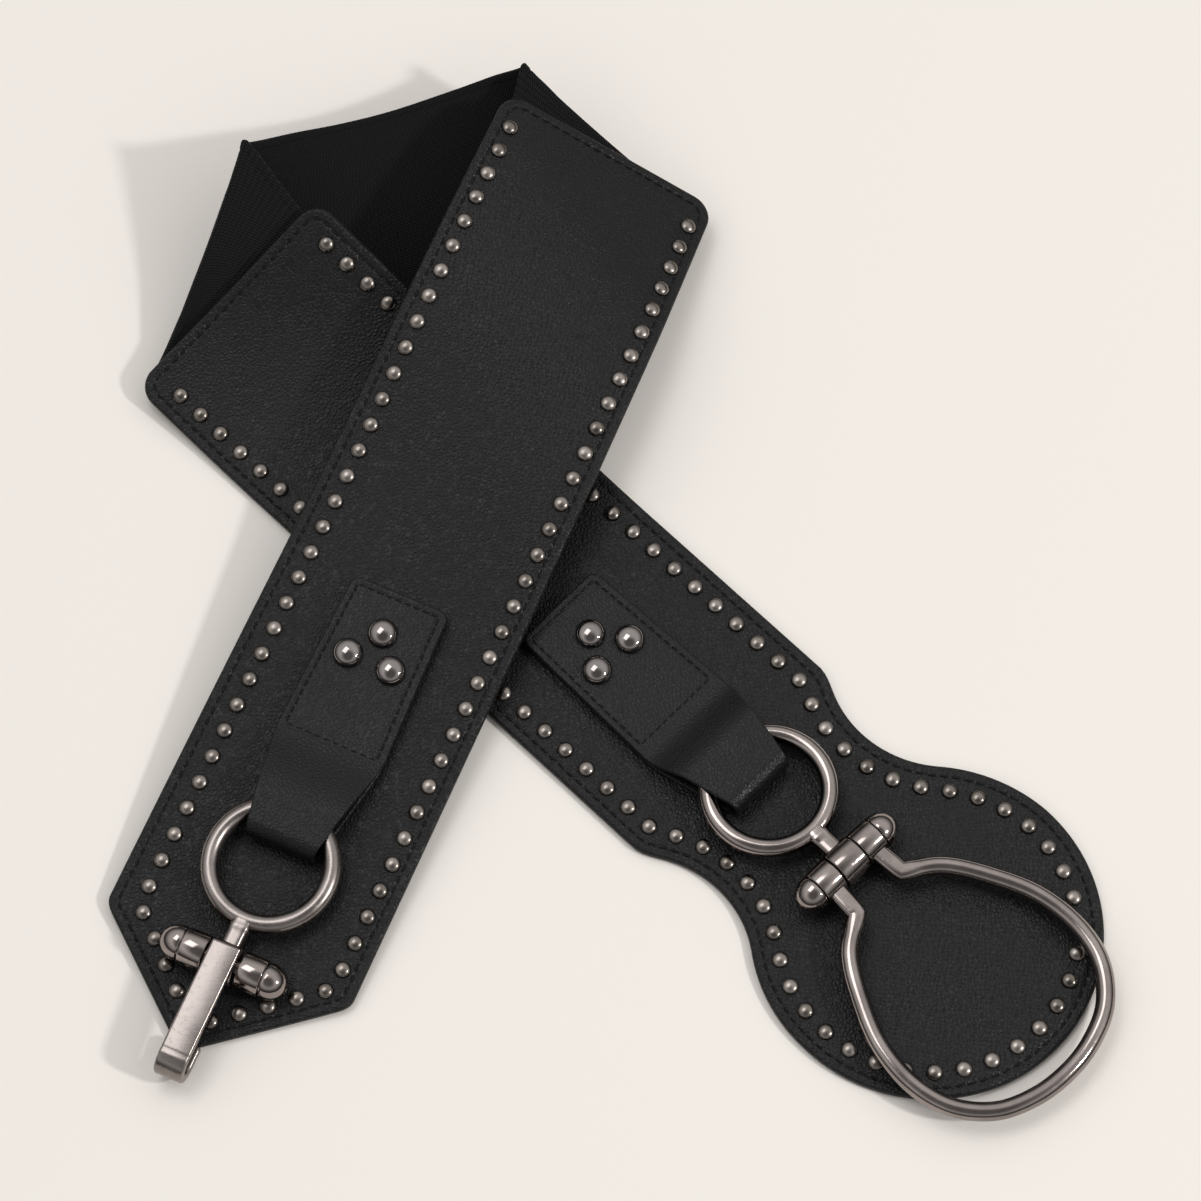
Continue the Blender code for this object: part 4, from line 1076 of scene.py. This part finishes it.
def stirrup_droop():
    """The stirrup rests on the studs near its far end, so it leans down from the pin."""
    room = pin_height(KNUCKLE_RADIUS) - LEATHER / 2.0 - STUD_HEIGHT - SEAT_GAP - WIRE_RADIUS
    return math.asin(room / (STIRRUP_RESTS_AT * STIRRUP_REACH))


def make_stirrup(matrix, metal):
    """Bow, squared stubs and two side knuckles, turning about the pin."""
    parts = Parts()
    outline = np.array([(out, half, 0.0) for out, half in STIRRUP_OUTLINE]) * STIRRUP_REACH
    bow = outline[1:]
    spans = len(bow) - 1
    mirrored = np.concatenate([bow, (bow[-2] * (1.0, -1.0, 1.0))[None]])
    smooth = catmull_rom(mirrored, [10] * spans + [1])[: 10 * spans + 1]
    arm = np.concatenate([np.linspace(outline[0], outline[1], 14)[:-1], smooth])
    path = np.concatenate([arm, arm[::-1][1:] * (1.0, -1.0, 1.0)])
    run = run_along(path)
    stub = np.linalg.norm(outline[1] - outline[0])
    square = np.clip(STUB_SQUARE - np.minimum(run, run[-1] - run) / stub, 0.0, 1.0)
    parts.add(*sweep(path, UP, round_section(WIRE_RADIUS, square)))
    middle = KNUCKLE_HALF + PIN_CLEARANCE + SIDE_LENGTH / 2.0
    for side in (1.0, -1.0):
        place = Matrix.Translation((0.0, side * middle, 0.0)) @ ALONG_PIN
        parts.add(*rounded_drum(SIDE_RADIUS, SIDE_LENGTH / 2.0, SIDE_FILLET), place)
    tilt = Matrix.Rotation(stirrup_droop(), 4, "Y")
    parts.piece("stirrup_bow", "stirrup", matrix @ tilt, metal, body="stirrup")


class Nodes:
    """Short hand for building the nodes of a material or of the world."""

    def __init__(self, owner, shader="Principled BSDF"):
        owner.use_nodes = True
        self.owner, self.tree = owner, owner.node_tree
        self.shader = self.tree.nodes[shader]

    def node(self, kind, inputs=None, **settings):
        made = self.tree.nodes.new(kind)
        for key, value in settings.items():
            setattr(made, key, value)
        for key, value in (inputs or {}).items():
            if isinstance(value, bpy.types.NodeSocket):
                self.tree.links.new(value, made.inputs[key])
            else:
                made.inputs[key].default_value = value
        return made

    def place(self, output="Object"):
        return self.node("ShaderNodeTexCoord").outputs[output]

    def noise(self, vector, scale, detail=2.0, rough=0.5):
        inputs = {"Vector": vector, "Scale": scale, "Detail": detail, "Roughness": rough}
        return self.node("ShaderNodeTexNoise", inputs).outputs["Fac"]

    def ramp(self, value, low, high, out_low, out_high, **settings):
        inputs = {"Value": value, "From Min": low, "From Max": high, "To Min": out_low,
                  "To Max": out_high}
        return self.node("ShaderNodeMapRange", inputs, **settings).outputs["Result"]

    def mix(self, factor, first, second):
        inputs = {0: factor, 6: (*first, 1.0), 7: (*second, 1.0)}
        return self.node("ShaderNodeMix", inputs, data_type="RGBA").outputs[2]

    def math(self, operation, a, b=0.0):
        return self.node("ShaderNodeMath", {0: a, 1: b}, operation=operation).outputs[0]

    def bump(self, height, distance, strength, below=None):
        inputs = {"Height": height, "Distance": distance, "Strength": strength}
        if below is not None:
            inputs["Normal"] = below
        return self.node("ShaderNodeBump", inputs).outputs["Normal"]

    def finish(self, colour, rough, normal, **values):
        """Gives the shader its colour, roughness, normal and named values."""
        values.update({"Base Color": colour, "Roughness": rough})
        if normal is not None:
            values["Normal"] = normal
        for key, value in values.items():
            socket = self.shader.inputs[key.replace("_", " ")]
            if isinstance(value, bpy.types.NodeSocket):
                self.tree.links.new(value, socket)
            else:
                socket.default_value = value
        return self.owner


def new_material(name):
    return Nodes(bpy.data.materials.new(name))


def leather_material(name, rough_low, grain):
    """Black faux leather: fine pebble grain over broad waves, and an uneven sheen."""
    n = new_material(name)
    place = n.place()
    cells = n.node("ShaderNodeTexVoronoi", {"Vector": place, "Scale": 880.0},
                   feature="DISTANCE_TO_EDGE").outputs["Distance"]
    pebble = n.ramp(cells, 0.0, 0.35, 0.0, 1.0)
    fine = n.noise(place, 1500.0, 3.0, 0.6)
    broad = n.noise(place, 55.0, 3.0, 0.55)
    patches = n.noise(place, 14.0)
    wave = n.bump(broad, 0.4 * MM, 0.4)
    coarse = n.bump(pebble, 0.3 * MM, grain, wave)
    return n.finish(n.mix(patches, *LEATHER_TONES), n.ramp(broad, 0.3, 0.7, rough_low, 0.42),
                    n.bump(fine, 0.2 * MM, grain, coarse), Specular_IOR_Level=0.24)


def edge_material():
    """The cut and painted edge of the leather: matt, a little lighter, with fine fibres."""
    n = new_material("leather_edge")
    fibres = n.noise(n.place(), 900.0, 4.0, 0.7)
    return n.finish(n.mix(fibres, *EDGE_TONES), n.ramp(fibres, 0.3, 0.7, 0.5, 0.72),
                    n.bump(fibres, 0.12 * MM, 0.5), Specular_IOR_Level=0.25)


def thread_material():
    """Black thread, twisted."""
    n = new_material("black_thread")
    inputs = {"Vector": n.place(), "Scale": 900.0, "Distortion": 2.0, "Detail": 2.0}
    twist = n.node("ShaderNodeTexWave", inputs).outputs["Fac"]
    return n.finish(n.mix(twist, *THREAD_TONES), n.ramp(twist, 0.0, 1.0, 0.5, 0.7),
                    n.bump(twist, 0.08 * MM, 0.6), Specular_IOR_Level=0.2)


def metal_material(name, dark, light, rough_low, rough_high, scratches):
    """Dark nickel: polished, with faint cloudiness, rubbed spots and hair scratches."""
    n = new_material(name)
    place = n.place()
    cloud = n.noise(place, 90.0, 4.0, 0.6)
    spots = n.noise(place, 700.0, 3.0, 0.65)
    streak = n.node("ShaderNodeMapping", {"Vector": place, "Scale": (260.0, 2600.0, 900.0)})
    lines = n.noise(streak.outputs["Vector"], 1.0)
    rough = n.ramp(cloud, 0.3, 0.7, rough_low, rough_high)
    first = n.bump(lines, 0.02 * MM, scratches)
    return n.finish(n.mix(n.ramp(cloud, 0.3, 0.7, 0.0, 1.0), dark, light),
                    n.math("ADD", rough, n.ramp(spots, 0.55, 0.75, 0.0, 0.1)),
                    n.bump(spots, 0.02 * MM, scratches, first), Metallic=1.0)


def elastic_material():
    """Woven elastic: rows of small rib cells across it, a little fuzzy."""
    n = new_material("woven_elastic")
    uv = n.node("ShaderNodeUVMap", uv_map="weave").outputs["UV"]
    parts = n.node("ShaderNodeSeparateXYZ", {"Vector": uv})
    across, along = parts.outputs["X"], parts.outputs["Y"]
    shift = n.ramp(n.noise(uv, 0.35), 0.3, 0.7, -0.15, 0.15)
    turns = 2.0 * math.pi
    rib = n.math("SINE", n.math("MULTIPLY", n.math("ADD", along, shift), turns / RIB_MM))
    cord = n.math("SINE", n.math("MULTIPLY", across, turns / CORD_MM))
    offset = n.math("MULTIPLY", n.math("SIGN", cord), turns / 4.0)
    step = n.math("ADD", n.math("MULTIPLY", along, turns / RIB_MM), offset)
    weave = n.math("MULTIPLY", n.math("SINE", step), n.math("ABSOLUTE", cord))
    height = n.math("ADD", n.math("MULTIPLY", weave, 0.75), n.math("MULTIPLY", rib, 0.25))
    fuzz = n.noise(uv, 6.0, 3.0, 0.7)
    first = n.bump(height, 0.5 * MM, 1.0)
    # Darker where the weave is lower: painted shade in the hollows between cords and ribs
    return n.finish(n.mix(n.ramp(height, -1.0, 1.0, 0.0, 1.0), *ELASTIC_TONES),
                    n.ramp(fuzz, 0.2, 0.8, 0.7, 0.9), n.bump(fuzz, 0.1 * MM, 0.4, first),
                    Specular_IOR_Level=0.16, Sheen_Weight=0.02, Sheen_Roughness=0.5)


def floor_material():
    n = new_material("pale_floor")
    return n.finish(n.mix(n.noise(n.place(), 2.0), *FLOOR_TONES), 0.9, None,
                    Specular_IOR_Level=0.1)


def make_floor():
    mesh = make_mesh("floor", [(-3, -3, 0), (3, -3, 0), (3, 3, 0), (-3, 3, 0)], [(0, 1, 2, 3)])
    mesh.materials.append(floor_material())
    add_object("floor", mesh)


def aim(item, place, direction):
    item.location = place
    item.rotation_euler = direction.to_track_quat("-Z", "Y").to_euler()


def add_area(name, place, size, power, colour):
    data = bpy.data.lights.new(name, "AREA")
    data.shape, data.size, data.size_y = "RECTANGLE", size[0], size[1]
    data.energy, data.color = power, colour
    aim(add_object(name, data), place, -Vector(place))


def camera_direction():
    rise = math.radians(CAMERA_ELEVATION)
    return Vector((0.0, -math.cos(rise), math.sin(rise)))


def make_world():
    """Pale studio air: brighter overhead than at the horizon, and dark round the camera."""
    world = bpy.data.worlds.new("studio")
    bpy.context.scene.world = world
    n = Nodes(world, "Background")
    place = n.place("Generated")
    height = n.node("ShaderNodeSeparateXYZ", {0: place}).outputs["Z"]
    facing = n.node("ShaderNodeVectorMath", {0: place, 1: camera_direction()},
                    operation="DOT_PRODUCT").outputs["Value"]
    ranges = [n.ramp(value, *limits, interpolation_type="SMOOTHSTEP")
              for value, *limits in ((height, *WORLD_RISE, WORLD_LOW, WORLD_OVERHEAD),
                                     (facing, DARK_TO, DARK_FROM, 1.0, DARK_SHARE))]
    n.shader.inputs["Color"].default_value = WORLD_COLOUR
    n.tree.links.new(n.math("MULTIPLY", *ranges), n.shader.inputs["Strength"])


def make_lights():
    add_area("key", KEY_PLACE, (KEY_SIZE, KEY_SIZE), KEY_POWER, KEY_COLOUR)
    add_area("top", TOP_PLACE, TOP_SIZE, TOP_POWER, (1.0, 1.0, 1.0))
    make_world()
    bpy.context.scene.view_settings.view_transform = "Standard"


def make_camera():
    data = bpy.data.cameras.new("camera")
    data.lens = data.sensor_width / 2.0 / math.tan(math.radians(CAMERA_FIELD / 2.0))
    camera = add_object("camera", data)
    back = camera_direction()
    aim(camera, Vector(CAMERA_TARGET) + back * CAMERA_DISTANCE, -back)
    bpy.context.scene.camera = camera


def main():
    hook_panel = Panel("hook_panel", hook_panel_edges, HOOK_PANEL_LENGTH, HOOK_TIP_LENGTH * 1.2,
                       HOOK_PANEL_BENDS, HOOK_PANEL_PLACE, HOOK_PANEL_HEADING, HOOK_PANEL_SLOPE)
    stirrup_panel = Panel("stirrup_panel", stirrup_panel_edges, STIRRUP_PANEL_LENGTH, DISC_RADIUS,
                          STIRRUP_PANEL_BENDS, STIRRUP_PANEL_PLACE, STIRRUP_PANEL_HEADING, 0.0)
    leather = leather_material("panel_leather", 0.32, 0.45)
    tab_leather = leather_material("tab_leather", 0.33, 0.3)
    edge, thread = edge_material(), thread_material()
    metals = {name: metal_material(name, *look) for name, *look in METALS}
    polished = metals["polished_dark_nickel"]
    for panel, path in ((hook_panel, hook_stud_path()), (stirrup_panel, stirrup_stud_path())):
        make_panel(panel, leather, edge)
        edge_stitches(panel, thread)
        edge_studs(panel, path, metals["aged_studs"], metals["stud_patina_and_gap_shade"])
    make_elastic(hook_panel, stirrup_panel, elastic_material())
    sides = (("hook", HOOK_SIDE, hook_panel), ("stirrup", STIRRUP_SIDE, stirrup_panel))
    for name, side, panel in sides:
        make_tab(name + "_tab", side, panel, tab_leather, edge)
        tab_stitches(name + "_tab", side, panel, thread)
    for name, side, panel in sides:
        make_rivets(name, side, panel, metals["mirror_domes"])
    hook_clasp = clasp_matrix(hook_panel, HOOK_SIDE)
    make_hook(hook_clasp, metals["satin_dark_nickel"])
    make_pin("hook_crosspin_domes", "hook_crosspin", crosspin_rows(), hook_clasp, polished)
    ring_clasp = clasp_matrix(stirrup_panel, STIRRUP_SIDE)
    make_ring(ring_clasp, polished)
    make_pin("hinge_pin_domes", "hinge_pin", hinge_pin_rows(), ring_clasp, polished)
    make_stirrup(ring_clasp, polished)
    make_floor()
    make_lights()
    make_camera()


main()
